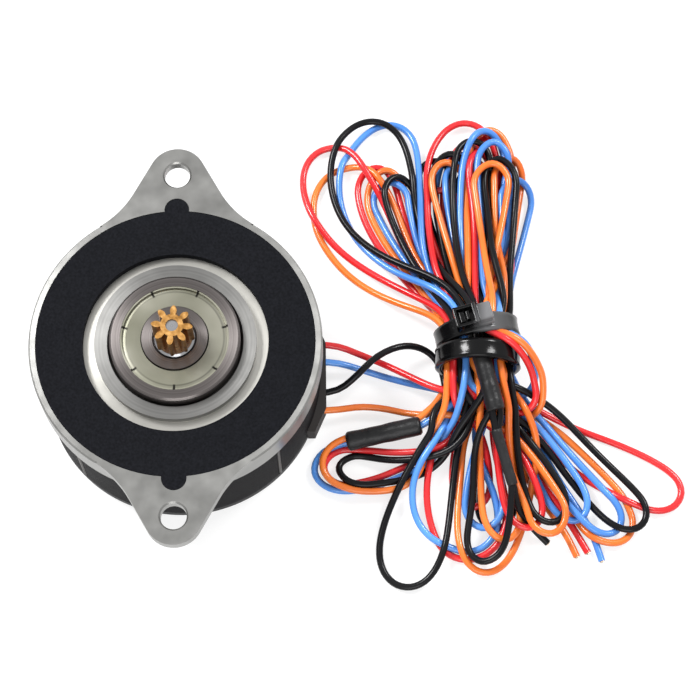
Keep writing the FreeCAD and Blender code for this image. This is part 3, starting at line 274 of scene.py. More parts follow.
def between(tree, value, low, high):
    """0 to 1 while a value goes from low to high."""
    span = tree.nodes.new("ShaderNodeMapRange")
    span.inputs["From Min"].default_value = low
    span.inputs["From Max"].default_value = high
    tree.links.new(value, span.inputs["Value"])
    return span.outputs["Result"]


def mixed(tree, factor, first, second, blend="MIX"):
    """A colour between two, each a socket or a plain colour."""
    node = tree.nodes.new("ShaderNodeMix")
    node.data_type = "RGBA"
    node.blend_type = blend
    feed(tree, node.inputs["Factor"], factor)
    feed(tree, node.inputs["A"], first)
    feed(tree, node.inputs["B"], second)
    return node.outputs["Result"]


shield_zinc = Finish("shield zinc", turned_rings, 0.35, 0.9, Rings_per_metre=2500.0)
shield_zinc.colours(
    "Patches", (0.3, 0.2, 0.198, 0.15), (0.5, 0.25, 0.246, 0.195), (0.7, 0.32, 0.312, 0.26)
)
shield_zinc.gloss("Patches", 0.28, 0.42).relief("Rings", 0.000008, 0.5)
shield_radius = from_axis(shield_zinc.tree, shield_zinc.place)
# Painted shade and highlight from hole to rim, multiplied into the zinc's colour.
shield_painted_light = ramped(
    shield_zinc.tree,
    between(shield_zinc.tree, shield_radius, *SHIELD_RADII),
    (0.0, 0.12, 0.12, 0.1),
    (1.0, 0.2, 0.19, 0.15),
    *((share, light, light, light) for share, light in SHIELD_PAINTED_LIGHT),
)
shield_tint_and_shade = mixed(shield_zinc.tree, 1.0, shield_zinc.colour, shield_painted_light, "MULTIPLY")
shield_axes = axes(shield_zinc.tree, shield_zinc.place)
shield_turn = worked(shield_zinc.tree, "ARCTAN2", shield_axes["X"], shield_axes["Y"])
shield_count = worked(shield_zinc.tree, "MULTIPLY", shield_turn, NOTCHES / math.tau)
shield_notch = worked(shield_zinc.tree, "PINGPONG", shield_count, 0.5)
notch_width = between(shield_zinc.tree, shield_notch, *NOTCH_SIDES)
notch_depth = between(shield_zinc.tree, shield_radius, *NOTCH_RADII)
shield_cut = worked(shield_zinc.tree, "MULTIPLY", notch_width, notch_depth)
# The notches are painted dark, as their shade.
shield_zinc.base(mixed(shield_zinc.tree, shield_cut, shield_tint_and_shade, NOTCH_SHADE))
shield_zinc.dress("front_bearing_shields", "rear_bearing_shields")

# Pinion and spacer
# Eight teeth milled in yellow brass, pressed on the shaft's end, and a plain brass sleeve below.

pinion_brass = Finish(
    "pinion brass", skin_grain, 0.3, 1.0, Grains_per_metre=5000.0, Patches_per_metre=1600.0
)
pinion_brass.colours(
    "Patches", (0.3, 0.3, 0.14, 0.035), (0.5, 0.46, 0.235, 0.07), (0.7, 0.6, 0.34, 0.12)
)
pinion_brass.gloss("Patches", 0.24, 0.4).relief("Grain", 0.000012, 0.7)
pinion_brass.dress("pinion", "front_spacer")

# Stator stack
# Half-millimetre steel sheets welded together, near black, with the sheet edges just to be seen.

SEAM_SHARE = 0.14

sheet_edges, edges_in, edges_out = shader_group(
    "sheet edges", {"Sheet thickness": 0.0005, "Patches per metre": 400.0}, ("Seams", "Patches")
)
sheet_height = axes(sheet_edges, edges_in["Place"])["Z"]
sheet_count = worked(sheet_edges, "DIVIDE", sheet_height, edges_in["Sheet thickness"])
sheet_share = worked(sheet_edges, "PINGPONG", sheet_count, 0.5)
feed(sheet_edges, edges_out["Seams"], between(sheet_edges, sheet_share, 0.0, SEAM_SHARE))
sheet_stains = noise(sheet_edges, edges_in["Place"], edges_in["Patches per metre"], 4.0)
feed(sheet_edges, edges_out["Patches"], sheet_stains)

stack_steel = Finish("stack steel", sheet_edges, 0.5, shine=0.02)
stack_steel.colours("Patches", (0.3, 0.007, 0.007, 0.008), (0.7, 0.014, 0.013, 0.014))
stack_steel.gloss("Patches", 0.42, 0.6).relief("Seams", 0.00003, 0.6)
stack_steel.dress("stator_stack")

# Stack welds
# A thin bead of weld runs up each of the four grooves in the stack and holds its sheets together.
# Each bead is a row of small overlapping ripples.

WELD_RIPPLES = 40
WELD_LENGTH = 0.0112
WELD_RADIUS = 0.00034
WELD_FOOT = (0.01732, 0.0, 0.0016)

weld_tree = bpy.data.node_groups.new("weld ripples", "GeometryNodeTree")
for label, kind in (("Ripples", "Int"), ("Length", "Float"), ("Radius", "Float")):
    weld_tree.interface.new_socket(label, in_out="INPUT", socket_type="NodeSocket" + kind)
weld_tree.interface.new_socket("Geometry", in_out="OUTPUT", socket_type="NodeSocketGeometry")
weld_in = weld_tree.nodes.new("NodeGroupInput")
weld_out = weld_tree.nodes.new("NodeGroupOutput")
weld_rise = weld_tree.nodes.new("ShaderNodeCombineXYZ")
weld_line = weld_tree.nodes.new("GeometryNodeMeshLine")
weld_line.mode = "END_POINTS"
weld_ripple = weld_tree.nodes.new("GeometryNodeMeshUVSphere")
weld_ripple.inputs["Segments"].default_value = 10
weld_ripple.inputs["Rings"].default_value = 6
weld_place = weld_tree.nodes.new("GeometryNodeInstanceOnPoints")
weld_place.inputs["Rotation"].default_value = (0.5, 0.0, 0.0)
weld_place.inputs["Scale"].default_value = (1.0, 0.6, 1.0)
weld_real = weld_tree.nodes.new("GeometryNodeRealizeInstances")
weld_finish = weld_tree.nodes.new("GeometryNodeSetMaterial")
for source, target in (
    (weld_in.outputs["Ripples"], weld_line.inputs["Count"]),
    (weld_in.outputs["Length"], weld_rise.inputs["Z"]),
    (weld_rise.outputs["Vector"], weld_line.inputs["Offset"]),
    (weld_in.outputs["Radius"], weld_ripple.inputs["Radius"]),
    (weld_line.outputs["Mesh"], weld_place.inputs["Points"]),
    (weld_ripple.outputs["Mesh"], weld_place.inputs["Instance"]),
    (weld_place.outputs["Instances"], weld_real.inputs["Geometry"]),
    (weld_real.outputs["Geometry"], weld_finish.inputs["Geometry"]),
    (weld_finish.outputs["Geometry"], weld_out.inputs["Geometry"]),
):
    weld_tree.links.new(source, target)

weld_steel = Finish("weld steel", skin_grain, 0.4, 0.6, shine=0.4)
weld_steel.colours("Patches", (0.3, 0.05, 0.049, 0.05), (0.7, 0.12, 0.115, 0.11))
weld_steel.gloss("Grain", 0.3, 0.45)
weld_finish.inputs["Material"].default_value = weld_steel.material


def grown(name, tree, **sizes):
    """The plain mesh that a geometry tree makes with the given sizes."""
    seed = bpy.data.objects.new(name + "_seed", bpy.data.meshes.new(name + "_seed"))
    bpy.context.scene.collection.objects.link(seed)
    growth = seed.modifiers.new("growth", "NODES")
    growth.node_group = tree
    for item in tree.interface.items_tree:
        if item.in_out == "INPUT" and item.name in sizes:
            growth[item.identifier] = sizes[item.name]
    view = bpy.context.evaluated_depsgraph_get()
    mesh = bpy.data.meshes.new_from_object(seed.evaluated_get(view), depsgraph=view)
    bpy.data.objects.remove(seed)
    return mesh


def meshed(name, sides, *materials):
    """The plain mesh of finished bmesh sides, which are let go."""
    mesh = bpy.data.meshes.new(name)
    sides.to_mesh(mesh)
    sides.free()
    for material in materials:
        mesh.materials.append(material)
    return mesh


def placed(name, mesh, body, slot_name, *replaced):
    """An object at the origin for a finished mesh, riding on its body."""
    piece = bpy.data.objects.new(name, mesh)
    bpy.context.scene.collection.objects.link(piece)
    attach(piece, body)
    if replaced:
        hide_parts(*replaced)
    return piece


weld_sides = bmesh.new()
for quarter in range(4):
    bead = grown(
        "weld", weld_tree, Ripples=WELD_RIPPLES, Length=WELD_LENGTH, Radius=WELD_RADIUS
    )
    bead.transform(Matrix.Translation(WELD_FOOT))
    bead.transform(Matrix.Rotation(math.radians(45 + 90 * quarter), 4, "Z"))
    weld_sides.from_mesh(bead)
weld_mesh = meshed("stack_welds", weld_sides, weld_steel.material)
placed("stack_welds", weld_mesh, "stator", "stack_steel")

# Insulators and coils
# White nylon end frames over the poles, and enamelled copper wire wound round them.

frame_nylon = Finish("frame nylon", skin_grain, 0.45)
frame_nylon.colours("Patches", (0.3, 0.72, 0.7, 0.66), (0.7, 0.8, 0.79, 0.75))
frame_nylon.gloss("Patches", 0.38, 0.5).relief("Grain", 0.00001, 0.4)
frame_nylon.dress("front_insulator", "rear_insulator")

wire_wraps, wraps_in, wraps_out = shader_group(
    "wire wraps", {"Wire diameter": 0.00025, "Patches per metre": 900.0}, ("Wires", "Patches")
)
wire_radius = from_axis(wire_wraps, wraps_in["Place"])
wire_count = worked(wire_wraps, "DIVIDE", wire_radius, wraps_in["Wire diameter"])
feed(wire_wraps, wraps_out["Wires"], worked(wire_wraps, "PINGPONG", wire_count, 0.5))
wire_stains = noise(wire_wraps, wraps_in["Place"], wraps_in["Patches per metre"])
feed(wire_wraps, wraps_out["Patches"], wire_stains)

copper_winding = Finish("copper winding", wire_wraps, 0.3, 0.85)
copper_winding.colours("Patches", (0.3, 0.42, 0.13, 0.05), (0.7, 0.6, 0.22, 0.09))
copper_winding.gloss("Patches", 0.22, 0.36).relief("Wires", 0.0001, 1.0)
copper_winding.dress("phase_a_coils", "phase_b_coils")

# Front flange
# An aluminium casting with two ears, faced and bored on a lathe. The ears and rim are satin
# grey, the hub has lathe rings, and the recess cut below the face is bare metal, painted light as
# a highlight.

TURNED_EDGE = (0.0163, 0.0168)
FACE_HEIGHT = (0.01585, 0.0159)
RIM_RADIUS = (0.01712, 0.01716)
# Bare metal of the recess, its colour made light as a painted highlight.
BARE_METAL_AND_HIGHLIGHT = (0.5, 0.49, 0.455, 1.0)
TURNED_METAL = (0.16, 0.159, 0.154, 1.0), (0.27, 0.267, 0.258, 1.0)
CAST_METAL = (0.22, 0.219, 0.211, 1.0), (0.37, 0.368, 0.356, 1.0)

flange_aluminium = Finish(
    "flange aluminium", turned_rings, 0.34, 1.0, Rings_per_metre=4500.0, Patches_per_metre=420.0
)
flange_aluminium.gloss("Patches", 0.26, 0.4).relief("Rings", 0.000005, 0.6).brushed(0.5)
flange_tree = flange_aluminium.tree
flange_radius = from_axis(flange_tree, flange_aluminium.place)
flange_height = axes(flange_tree, flange_aluminium.place)["Z"]
flange_turned = mixed(flange_tree, flange_aluminium.masks["Rings"], *TURNED_METAL)
flange_cast = mixed(flange_tree, flange_aluminium.masks["Patches"], *CAST_METAL)
flange_hub = mixed(
    flange_tree, between(flange_tree, flange_radius, *TURNED_EDGE), flange_turned, flange_cast
)
# Mask: 0 in the recess below the face, where the painted highlight goes, 1 on the face and rim.
flange_outside_highlight = worked(
    flange_tree,
    "MAXIMUM",
    between(flange_tree, flange_height, *FACE_HEIGHT),
    between(flange_tree, flange_radius, *RIM_RADIUS),
)
flange_aluminium.base(mixed(flange_tree, flange_outside_highlight, BARE_METAL_AND_HIGHLIGHT, flange_hub))
flange_aluminium.dress("front_flange")

# Front ring
# A near-black fibre washer glued in the flange's recess, dull and very finely speckled.

ring_fibre = Finish(
    "ring fibre", skin_grain, 0.8, shine=0.06, Grains_per_metre=3500.0, Patches_per_metre=350.0
)
ring_fibre.colours("Grain", (0.3, 0.004, 0.0043, 0.0055), (0.7, 0.0085, 0.009, 0.0115))
ring_fibre.gloss("Patches", 0.72, 0.88).relief("Grain", 0.00003, 0.6)
ring_fibre.dress("front_ring")

# Lead exit
# A black nylon block in the stack's side, with one round socket for each of the four leads.

exit_nylon = Finish("exit nylon", skin_grain, 0.55, shine=0.06)
exit_nylon.colours("Patches", (0.3, 0.03, 0.027, 0.026), (0.7, 0.045, 0.041, 0.04))
exit_nylon.gloss("Patches", 0.48, 0.62).relief("Grain", 0.00001, 0.5)
exit_nylon.dress("lead_exit")

# Leads and their hank
# Four PVC-covered stranded wires, 0.9 mm over the cover, about 0.8 m each and cut off bare.
# They run to a nylon tie and are folded back and forth through it, in loops laid loosely flat.

MM = 0.001
LEAD = 0.9

# The tie's middle, and the radius that it leaves for the leads.
TIE_X, TIE_Z, TIE_INSIDE = 37.5, 5.6, 3.9

# Both ends of each splice sleeve, its radius and the leads in it, in mm like all of the hank.
SLEEVES = (
    ((20.8, -8.6, 1.9), (30.2, -7.0, 3.4), 1.25, ("lead_blue", "lead_orange")),
    ((37.7, 0.8, 8.9), (39.5, -6.6, 8.0), 1.2, ("lead_black",)),
    ((39.4, -8.8, 7.4), (41.4, -15.6, 5.6), 0.7, ("lead_black",)),
)

# From the exit block to the tie, on the photograph's own lines. These points stay put.
LEAD_STARTS = {
    "lead_red": [
        (17.0, 4.43, 2.0), (19.4, 4.43, 2.0), (22.4, 3.2, 1.7), (25.6, 1.7, 2.0),
        (28.8, -0.3, 3.0), (31.6, -2.1, 4.0), (34.4, -3.1, 4.6),
    ],
    "lead_blue": [
        (17.0, 2.1, 2.0), (19.4, 2.1, 2.0), (22.6, 1.35, 1.0), (25.9, 0.3, 0.65),
        (29.2, -0.75, 1.0), (32.0, -1.8, 2.2), (34.8, -2.9, 3.2),
    ],
    "lead_black": [
        (17.0, -2.1, 2.0), (19.4, -2.1, 2.0), (21.9, -0.6, 3.5), (24.4, 1.95, 4.0),
        (27.2, 3.5, 3.6), (29.5, 4.0, 2.5), (31.4, 3.5, 1.5), (32.7, 2.2, 0.85), (33.3, 0.4, 0.6),
        (33.5, -1.6, 0.65), (34.3, -3.8, 1.4),
    ],
    "lead_orange": [
        (17.0, -4.43, 2.0), (19.4, -4.43, 2.0), (22.4, -3.75, 1.4), (25.6, -4.0, 1.2),
        (28.6, -4.9, 1.5), (31.4, -5.4, 2.6), (34.2, -5.6, 3.4),
    ],
}


def up(x, z):
    """A lead's way through the tie, away from the cut ends."""
    return [(x, -2.6, z), (x, 2.2, z), (x, 7.0, z)]


def down(x, z):
    """A lead's way through the tie, towards the cut ends."""
    return up(x, z)[::-1]


# Loops picked out on the photograph and turned into mm, with the hidden ones guessed.
# A fourth number marks points that stay put, over the tie's lower band.
LEAD_TURNS = {
    "lead_red": [
        (36.8, -4.2, 4), (38.4, -4.2, 3), up(38.6, 2.2), (39, 16.4, 2.4), (39.5, 23.6, 1.9),
        (39.5, 30, 1.4), (38.7, 33.1, 0.9), (36.5, 32.5, 0.9), (34.8, 28.9, 1.4), (34.1, 23, 1.9),
        (36, 16.4, 2.4), down(36.0, 2.4), (33.3, -7.4, 5), (32, -11.8, 4.3), (31, -14.5, 3.6),
        (31.2, -17.2, 2.8), (32.3, -20.9, 2.1), (34.5, -23.5, 1.4), (37.5, -23.6, 1.8),
        (39.8, -21.1, 2.2), (40.3, -16.7, 2.6), (38.8, -11.5, 3), (37.6, -6.4, 3.4),
        up(37.6, 4.6), (36.9, 14.7, 4.4), (37.4, 19.4, 3.8), (38.1, 25.2, 3.2), (38.7, 30.4, 2.6),
        (39.5, 34.3, 2), (40.5, 34.3, 2.3), (41.1, 31.1, 2.6), (41, 24.6, 2.9), (40.2, 16.7, 3.2),
        down(40.9, 3.4), (44.1, -3.8, 2.6), (48.6, -6.7, 2.3), (55.4, -9.6, 1.9),
        (60.3, -12.5, 1.5), (63.3, -15.3, 1.2), (62.1, -17.6, 1.1), (58.2, -17.6, 1.3),
        (53.9, -16, 1.5), (48.9, -12.6, 1.6), (44.1, -7.3, 1.8), up(35.4, 6.6), (33.9, 13, 6),
        (32.6, 19.6, 5.2), (32.4, 24.1, 4.5), (33.2, 30, 3.7), (34.9, 34.4, 3), (37.4, 36.6, 2.2),
        (39.8, 35.3, 2.3), (41.3, 30.9, 2.4), (42, 26.2, 2.4), (41.5, 20.5, 2.5),
        (40.8, 14.9, 2.6), (38.2, 4.4, 9.3, 1), (39.2, 3.1, 9.9, 1), (40.8, 2.3, 10.2, 1),
        (42.4, 1.2, 9.2, 1), (43.8, -0.4, 7.6, 1), (44.6, -2.2, 5.8, 1), (44.3, -3.8, 4.6, 1),
        (43.3, -5.2, 3.8), (42.2, -5.6, 3.2), (41.4, -4.8, 3), up(38.4, 6.6), (38.3, 13, 6.5),
        (38, 20, 5.4), (37.6, 27, 4.4), (38.2, 31.2, 3.6), (39.2, 31.8, 3.4), (39.7, 28, 4),
        (39.8, 20, 4.6), (39.3, 13, 5.4), down(39.2, 5.0), (39, -6, 5.2), (39.4, -11, 4.6),
        (40.2, -16, 3.8), (41.4, -19.6, 3.2), (43, -20.4, 3), (43.8, -18, 3.2), (43, -13, 4),
        (41.4, -7.6, 5), up(36.0, 4.4), (35, 12.6, 4.4), (33.6, 18, 3.8), (32.6, 23, 3.2),
        (33, 26.4, 2.6), (34.2, 26.6, 2.4), (35.2, 23, 2.8), (35.8, 18, 3.2), (36.4, 12.6, 3.8),
        down(36.8, 3.2), (35.6, -6, 3.6), (34.6, -11, 3), (34.6, -15, 2.6), (35.6, -18, 2.2),
        (37, -18, 2.2), (37.8, -14, 2.8), (37.8, -8, 3.4), up(34.4, 4.2), (31.1, 12.7, 3.2),
        (28.2, 16.4, 2.8), (25.2, 20.8, 2.4), (23.7, 25.9, 2), (24.3, 29.7, 1.6),
        (25.7, 30.8, 1.6), (27, 28.5, 1.9), (28.4, 23.6, 2.3), (30.1, 18.5, 2.6), (31.8, 14.5, 3),
        down(34.9, 3.0), (34, -8.3, 5.5), (31.2, -10, 4.7), (27.4, -10.6, 3.9),
        (23.6, -10.7, 3.2), (19.6, -10.4, 2.4), (17.3, -11.1, 1.6), (18.3, -12.4, 1.7),
        (23, -12.8, 1.8), (28.1, -12.1, 1.8), (32.5, -9.8, 1.9), (35.2, -5.9, 2), up(35.2, 8.6),
        (32.3, 9.4, 8), (27.8, 12.4, 7.2), (22.7, 15.8, 6.3), (18.7, 19.5, 5.5),
        (16.3, 24.1, 4.7), (15.8, 28.8, 3.8), (17.4, 32.2, 3.5), (20.6, 32.8, 3.7),
        (23.3, 30.8, 3.9), (25.9, 26.2, 4), (28.4, 19.6, 4.2), (30.5, 14.8, 4.4), down(35.6, 5.4),
        (41.7, -7.5, 2.5), (43.9, -11.9, 1.7), (47.6, -15.6, 0.8), (49.7, -19.5, 0.5),
        (51, -23.4, 0.5),
    ],
    "lead_blue": [
        (36.6, -4.4, 2.6), (37.8, -4.2, 2.2), up(37.5, 2.6), (36.8, 16.5, 2.2), (37, 22.3, 1.8),
        (37.4, 28.1, 1.4), (36.8, 31.9, 1), (35.3, 30.7, 1.1), (34, 26, 1.6), (33.8, 20.8, 2.1),
        (35.1, 15.4, 2.6), down(35.2, 2.8), (34, -7.8, 6), (31.2, -10.1, 5.2), (30, -13.8, 4.5),
        (29.8, -17.2, 3.7), (31, -20.5, 2.9), (33.5, -22.5, 2.2), (36.5, -23, 2),
        (38.9, -21.9, 2.3), (39.8, -19.3, 2.7), (38.9, -15.5, 3.1), (37.3, -10.3, 3.4),
        (36.4, -5.1, 3.8), up(38.6, 5.4), (37.2, 12.9, 5.4), (36.6, 18.9, 4.9), (36.9, 26.1, 4.4),
        (37.6, 31.2, 4), (38.8, 34.5, 3.5), (40, 35, 3), (40.8, 32.6, 3.1), (41.3, 28.7, 3.2),
        (41.1, 23.7, 3.4), (40.5, 17.3, 3.5), (40, 12.5, 3.6), down(40.8, 5.0), (42.2, -3.9, 3),
        (45.9, -7.5, 2.5), (50.2, -12.5, 2.1), (53.8, -16.6, 1.6), (55.8, -19.7, 1.2),
        (54.2, -21, 1.4), (51.2, -19.4, 1.7), (47.7, -16.3, 1.9), (44.5, -11.4, 2.2),
        (41.8, -5.4, 2.4), up(39.0, 7.2), (37.6, 11, 6.8), (38.1, 17.1, 6), (38.7, 22.9, 5.3),
        (39, 28.9, 4.5), (39.7, 32.9, 3.8), (40.5, 33.2, 3.4), (41, 30.8, 3.3), (41, 25.8, 3.3),
        (40.6, 20.2, 3.2), (40, 15.1, 3.2), (39.9, 5, 8.8, 1), (41.8, 3.2, 8.6, 1),
        (43.4, 2.5, 7.7, 1), (44.4, 1.1, 6.3, 1), (44.4, -0.9, 5.2, 1), (43.6, -2.8, 4.4),
        (42.4, -4.2, 3.8), up(37.0, 5.2), (36.6, 13, 5), (36, 20, 4.4), (35.6, 26, 3.6),
        (36.2, 30.2, 3), (37.4, 30.6, 2.8), (38.2, 27, 3.4), (38.4, 20, 4), (38, 13, 4.6),
        down(38.2, 4.2), (37.4, -6, 4.6), (36.6, -11, 4.2), (36.4, -16, 3.4), (37, -20, 2.8),
        (38.4, -21, 2.6), (39.2, -18, 3), (39, -12, 3.6), (38.6, -7, 4.2), up(40.2, 4.6),
        (39.8, 12.6, 5), (40.5, 18, 4.4), (40.8, 24, 3.8), (41.3, 28.2, 3.4), (42.1, 28.4, 3.2),
        (42.4, 24.6, 3.2), (41.9, 18, 3.6), (41, 12.6, 4), down(41.0, 3.6), (41.6, -6, 3.4),
        (43.6, -11, 2.8), (46.4, -16, 2.2), (49, -19.6, 1.8), (50.6, -19.6, 1.6),
        (50.2, -16.4, 1.8), (47, -11, 2.4), (43, -6.2, 3), up(35.0, 6.0), (31.5, 13.1, 5.2),
        (28.7, 17.9, 4.2), (26.8, 23.2, 3.3), (25.9, 26.9, 2.3), (26.6, 28.7, 2),
        (27.9, 26.8, 2.5), (29.4, 21.9, 2.9), (31.1, 16.8, 3.4), down(36.8, 4.2),
        (32.6, -6.6, 4.2), (30.2, -7, 3.4), (25.5, -7.8, 2.6), (20.8, -8.6, 1.9), (18.1, -9.9, 2),
        (16.5, -11.4, 1.2), (17.5, -13, 1.3), (20.4, -13.6, 1.4), (24.6, -13.3, 1.6),
        (28.7, -12.3, 1.7), (32.5, -9.8, 1.8), up(36.4, 9.2), (33.6, 10.6, 8.4),
        (29.1, 13.2, 7.4), (25.1, 16.3, 6.5), (21.8, 20.3, 5.5), (20.4, 24.9, 4.5),
        (21.1, 29.6, 3.6), (23.8, 34.1, 2.6), (27.3, 36.2, 3), (29.6, 35, 3.4), (30.4, 30.1, 3.8),
        (30.5, 23.5, 4.2), (31.1, 17.7, 4.6), (32.2, 13.2, 5), down(36.2, 6.8), (42.8, -7.3, 2),
        (45.8, -12.5, 1.3), (49.1, -17.3, 0.7), (51, -20.1, 0.5), (52.2, -23, 0.5),
    ],
    "lead_black": [
        (35.6, -5.4, 1.2), (37, -5.2, 1.8), up(37.2, 3.8), (36, 15.4, 2.6), (35.4, 20, 2.2),
        (34.8, 27.3, 1.8), (33.7, 31.5, 1.4), (32.6, 30.6, 1.4), (32.9, 26.6, 1.9),
        (33.4, 20.7, 2.3), (34.7, 15.6, 2.8), down(36.4, 3.2), (33, -4.1, 7), (31.5, -8.1, 6),
        (29.3, -11.3, 5), (27.3, -15, 4), (25.6, -19.2, 3), (25, -23.4, 2), (26.2, -26.1, 1),
        (28.4, -27.2, 1.7), (30.9, -25.7, 2.3), (32.4, -22.5, 3), (33.5, -17.5, 3.7),
        (34.2, -12.5, 4.3), (34.5, -8.1, 5), up(36.8, 6.0), (34.5, 13.5, 5.4), (34, 19.7, 4.7),
        (34.3, 26.3, 4), (35.5, 31.5, 3.3), (36.8, 31.2, 3.2), (37.3, 25.8, 3.6), (37.6, 17.9, 4),
        (37.7, 13.6, 4.4), down(38.2, 6.2), (46.6, -5.2, 2.7), (51.5, -10.2, 2.3),
        (55.4, -14.8, 1.9), (58.2, -18.9, 1.4), (57.9, -21.2, 1.3), (55.1, -21.1, 1.4),
        (52, -17.8, 1.6), (47.9, -12.6, 1.7), (44, -7.3, 1.9), up(38.2, 8.0), (36.1, 11.1, 7.4),
        (35.3, 17.7, 6.4), (35.2, 24.3, 5.4), (35.8, 29.6, 4.4), (37.2, 32.6, 3.4),
        (38.8, 31.8, 3.7), (39.4, 27.7, 4), (39.2, 20.5, 4.3), (38.7, 14.2, 4.6), down(39.4, 6.0),
        (36.4, -4.8, 7.1), (36.8, -9.8, 6), (37.3, -14.7, 4.9), (37.1, -18.2, 3.8),
        (36.6, -22.5, 2.7), (37.4, -25.2, 2.5), (39, -23.8, 3), (40.7, -19.9, 3.5),
        (42, -14.5, 4), (42.4, -9.4, 4.5), (41.7, -4.3, 5), up(39.8, 7.4), (39.4, 13, 7),
        (39.5, 20, 5.8), (39.3, 27, 4.8), (39.7, 30.6, 4.2), (40.5, 30.4, 4), (41, 26, 4.2),
        (40.8, 19, 5), (40.2, 12.6, 6), down(40.6, 6.4), (40.8, -6, 5.6), (41.8, -11, 4.6),
        (43.4, -16, 3.8), (45.4, -19.4, 3), (47.2, -19.8, 2.6), (47.6, -17.4, 2.8),
        (45.6, -12, 3.8), (42.8, -7, 4.8), up(38.8, 3.6), (38.8, 13, 3.6), (39.1, 20, 3.2),
        (38.8, 27, 2.8), (38.2, 30.6, 2.4), (37, 30.2, 2.4), (36.6, 26, 2.6), (36.8, 19, 3),
        (37.4, 12.8, 3.2), down(37.8, 2.6), (38, -6, 2.8), (38.2, -11, 2.4), (38, -17, 2),
        (38.6, -20.6, 1.6), (40, -21, 1.4), (41, -17.6, 1.8), (40.8, -11, 2.2), (40, -6, 2.8),
        up(35.6, 7.4), (31.7, 12.4, 5.8), (29.2, 17.7, 4.9), (27.8, 22.2, 4), (27.1, 26.1, 3.1),
        (27.9, 28.3, 2.2), (29.5, 27.3, 2.6), (30.4, 23.3, 3), (31.4, 18.2, 3.4),
        (32.3, 14.6, 3.8), down(37.4, 5.4), (35.2, -7.8, 6.2), (33, -10.5, 5.3),
        (27.4, -11.9, 4.3), (22.6, -12.1, 3.4), (19.2, -11.2, 2.5), (18.6, -11.8, 2),
        (22.3, -12.6, 2.1), (27.4, -12.5, 2.2), (32.2, -11, 2.3), (34.9, -7.3, 2.4),
        up(36.4, 9.0), (34.4, 11.4, 8.8), (31, 13.6, 8), (26.6, 16.3, 7.1), (22.5, 19.7, 6.3),
        (20.3, 23.7, 5.5), (19.5, 28.4, 4.6), (20.9, 32.9, 3.8), (23.8, 35.9, 3.5),
        (26.7, 35.8, 3.7), (28.8, 33.2, 3.9), (29.7, 28.5, 4), (30.5, 22.8, 4.2),
        (31.6, 17.1, 4.4), (33, 13.3, 4.6), down(37.4, 9.3), (39.5, -6.6, 8), (39.4, -7.8, 7.7),
        (39.4, -8.8, 7.4), (41.4, -15.6, 5.6), (43.4, -18.4, 2.6), (45.9, -21.8, 0.5),
    ],
    "lead_orange": [
        (36.6, -6.2, 3), (38.2, -5.2, 2.8), up(38.0, 3.0), (37.6, 16.6, 2), (38.2, 23.8, 1.5),
        (38.1, 30.4, 1.1), (36.9, 31.8, 0.6), (35.7, 27.5, 1.1), (35.4, 20.9, 1.7),
        (36.3, 15.5, 2.2), down(37.0, 2.0), (35.3, -6.9, 5.2), (35.4, -13.2, 4.5),
        (35, -18.2, 3.9), (35.1, -21.9, 3.2), (36.1, -24.7, 2.6), (37.6, -25.9, 1.9),
        (39.4, -25, 1.9), (41.2, -22.4, 2.4), (42.8, -18.1, 2.9), (43.9, -13, 3.4),
        (43.6, -7.9, 3.9), (42, -3.8, 4.4), up(39.6, 4.4), (37.9, 13.6, 4.4), (38.1, 20, 4),
        (38.4, 26.5, 3.5), (38.8, 31.2, 3.1), (39.6, 34.6, 2.6), (40.5, 34.5, 2.5),
        (41.3, 31.3, 2.7), (41.4, 26.7, 3), (40.6, 19.5, 3.2), (39.9, 13.9, 3.4), down(40.2, 2.6),
        (46.4, -6.1, 2), (50.9, -10.8, 1.7), (54.4, -15, 1.4), (56.8, -18.8, 1.1),
        (56.9, -21.4, 1.1), (54.3, -21.7, 1.3), (51.1, -19.9, 1.5), (47.5, -15.9, 1.8),
        (43.9, -10, 2), (41, -4, 2.2), up(40.4, 6.6), (39.4, 10.7, 6.4), (39.5, 15.8, 5.6),
        (39.9, 22.4, 4.8), (40.3, 28, 4), (40.8, 31.1, 3.2), (41.4, 29.8, 3.2), (41.5, 25.8, 3.2),
        (41, 20.2, 3.2), (40.4, 15.1, 3.2), (39.1, 4.6, 9.2, 1), (40.4, 3.3, 9.7, 1),
        (42.2, 2.4, 9.9, 1), (44, 0.9, 8.7, 1), (45.2, -0.7, 7, 1), (45.8, -2.4, 5.6, 1),
        (45.3, -4.2, 4.4, 1), (44.1, -5.8, 3.6), (42.6, -6.4, 3), (41.4, -5.2, 2.6),
        up(36.2, 7.6), (35.6, 13, 7), (34.8, 20, 6), (34.4, 26, 5), (35.2, 29.8, 4.2),
        (36.4, 29.6, 4), (37.2, 25, 4.4), (37.4, 19, 5.2), (37.2, 12.6, 6), down(37.6, 6.2),
        (37, -6, 6), (37.2, -11, 5), (38.2, -17, 4), (39.4, -21, 3), (41, -22, 2.8),
        (42, -19.4, 3), (41.2, -13, 4.2), (39.6, -7, 5.2), up(39.2, 8.4), (38.8, 13, 8),
        (38.7, 20, 6.8), (38.7, 26, 5.8), (39.2, 29.6, 5), (40, 29.4, 4.8), (40.2, 25, 5.2),
        (40, 19, 5.8), (39.3, 12.8, 6.8), down(39.0, 7.2), (39.4, -6, 6.4), (40.8, -11, 5.2),
        (43.2, -16.6, 4.2), (45.4, -21, 3.2), (47, -21.4, 2.8), (46.8, -17.6, 3.2),
        (44.6, -11.6, 4.2), (41.8, -6.6, 5.4), up(34.0, 5.2), (31, 13, 4), (28, 17.1, 3.5),
        (26, 21.3, 2.9), (24.7, 25, 2.4), (25, 28.5, 1.9), (26.4, 30.3, 1.8), (27.5, 28.4, 2.1),
        (28.8, 24.2, 2.5), (30.1, 19.6, 2.8), (31.8, 15.2, 3.2), down(36.2, 3.6),
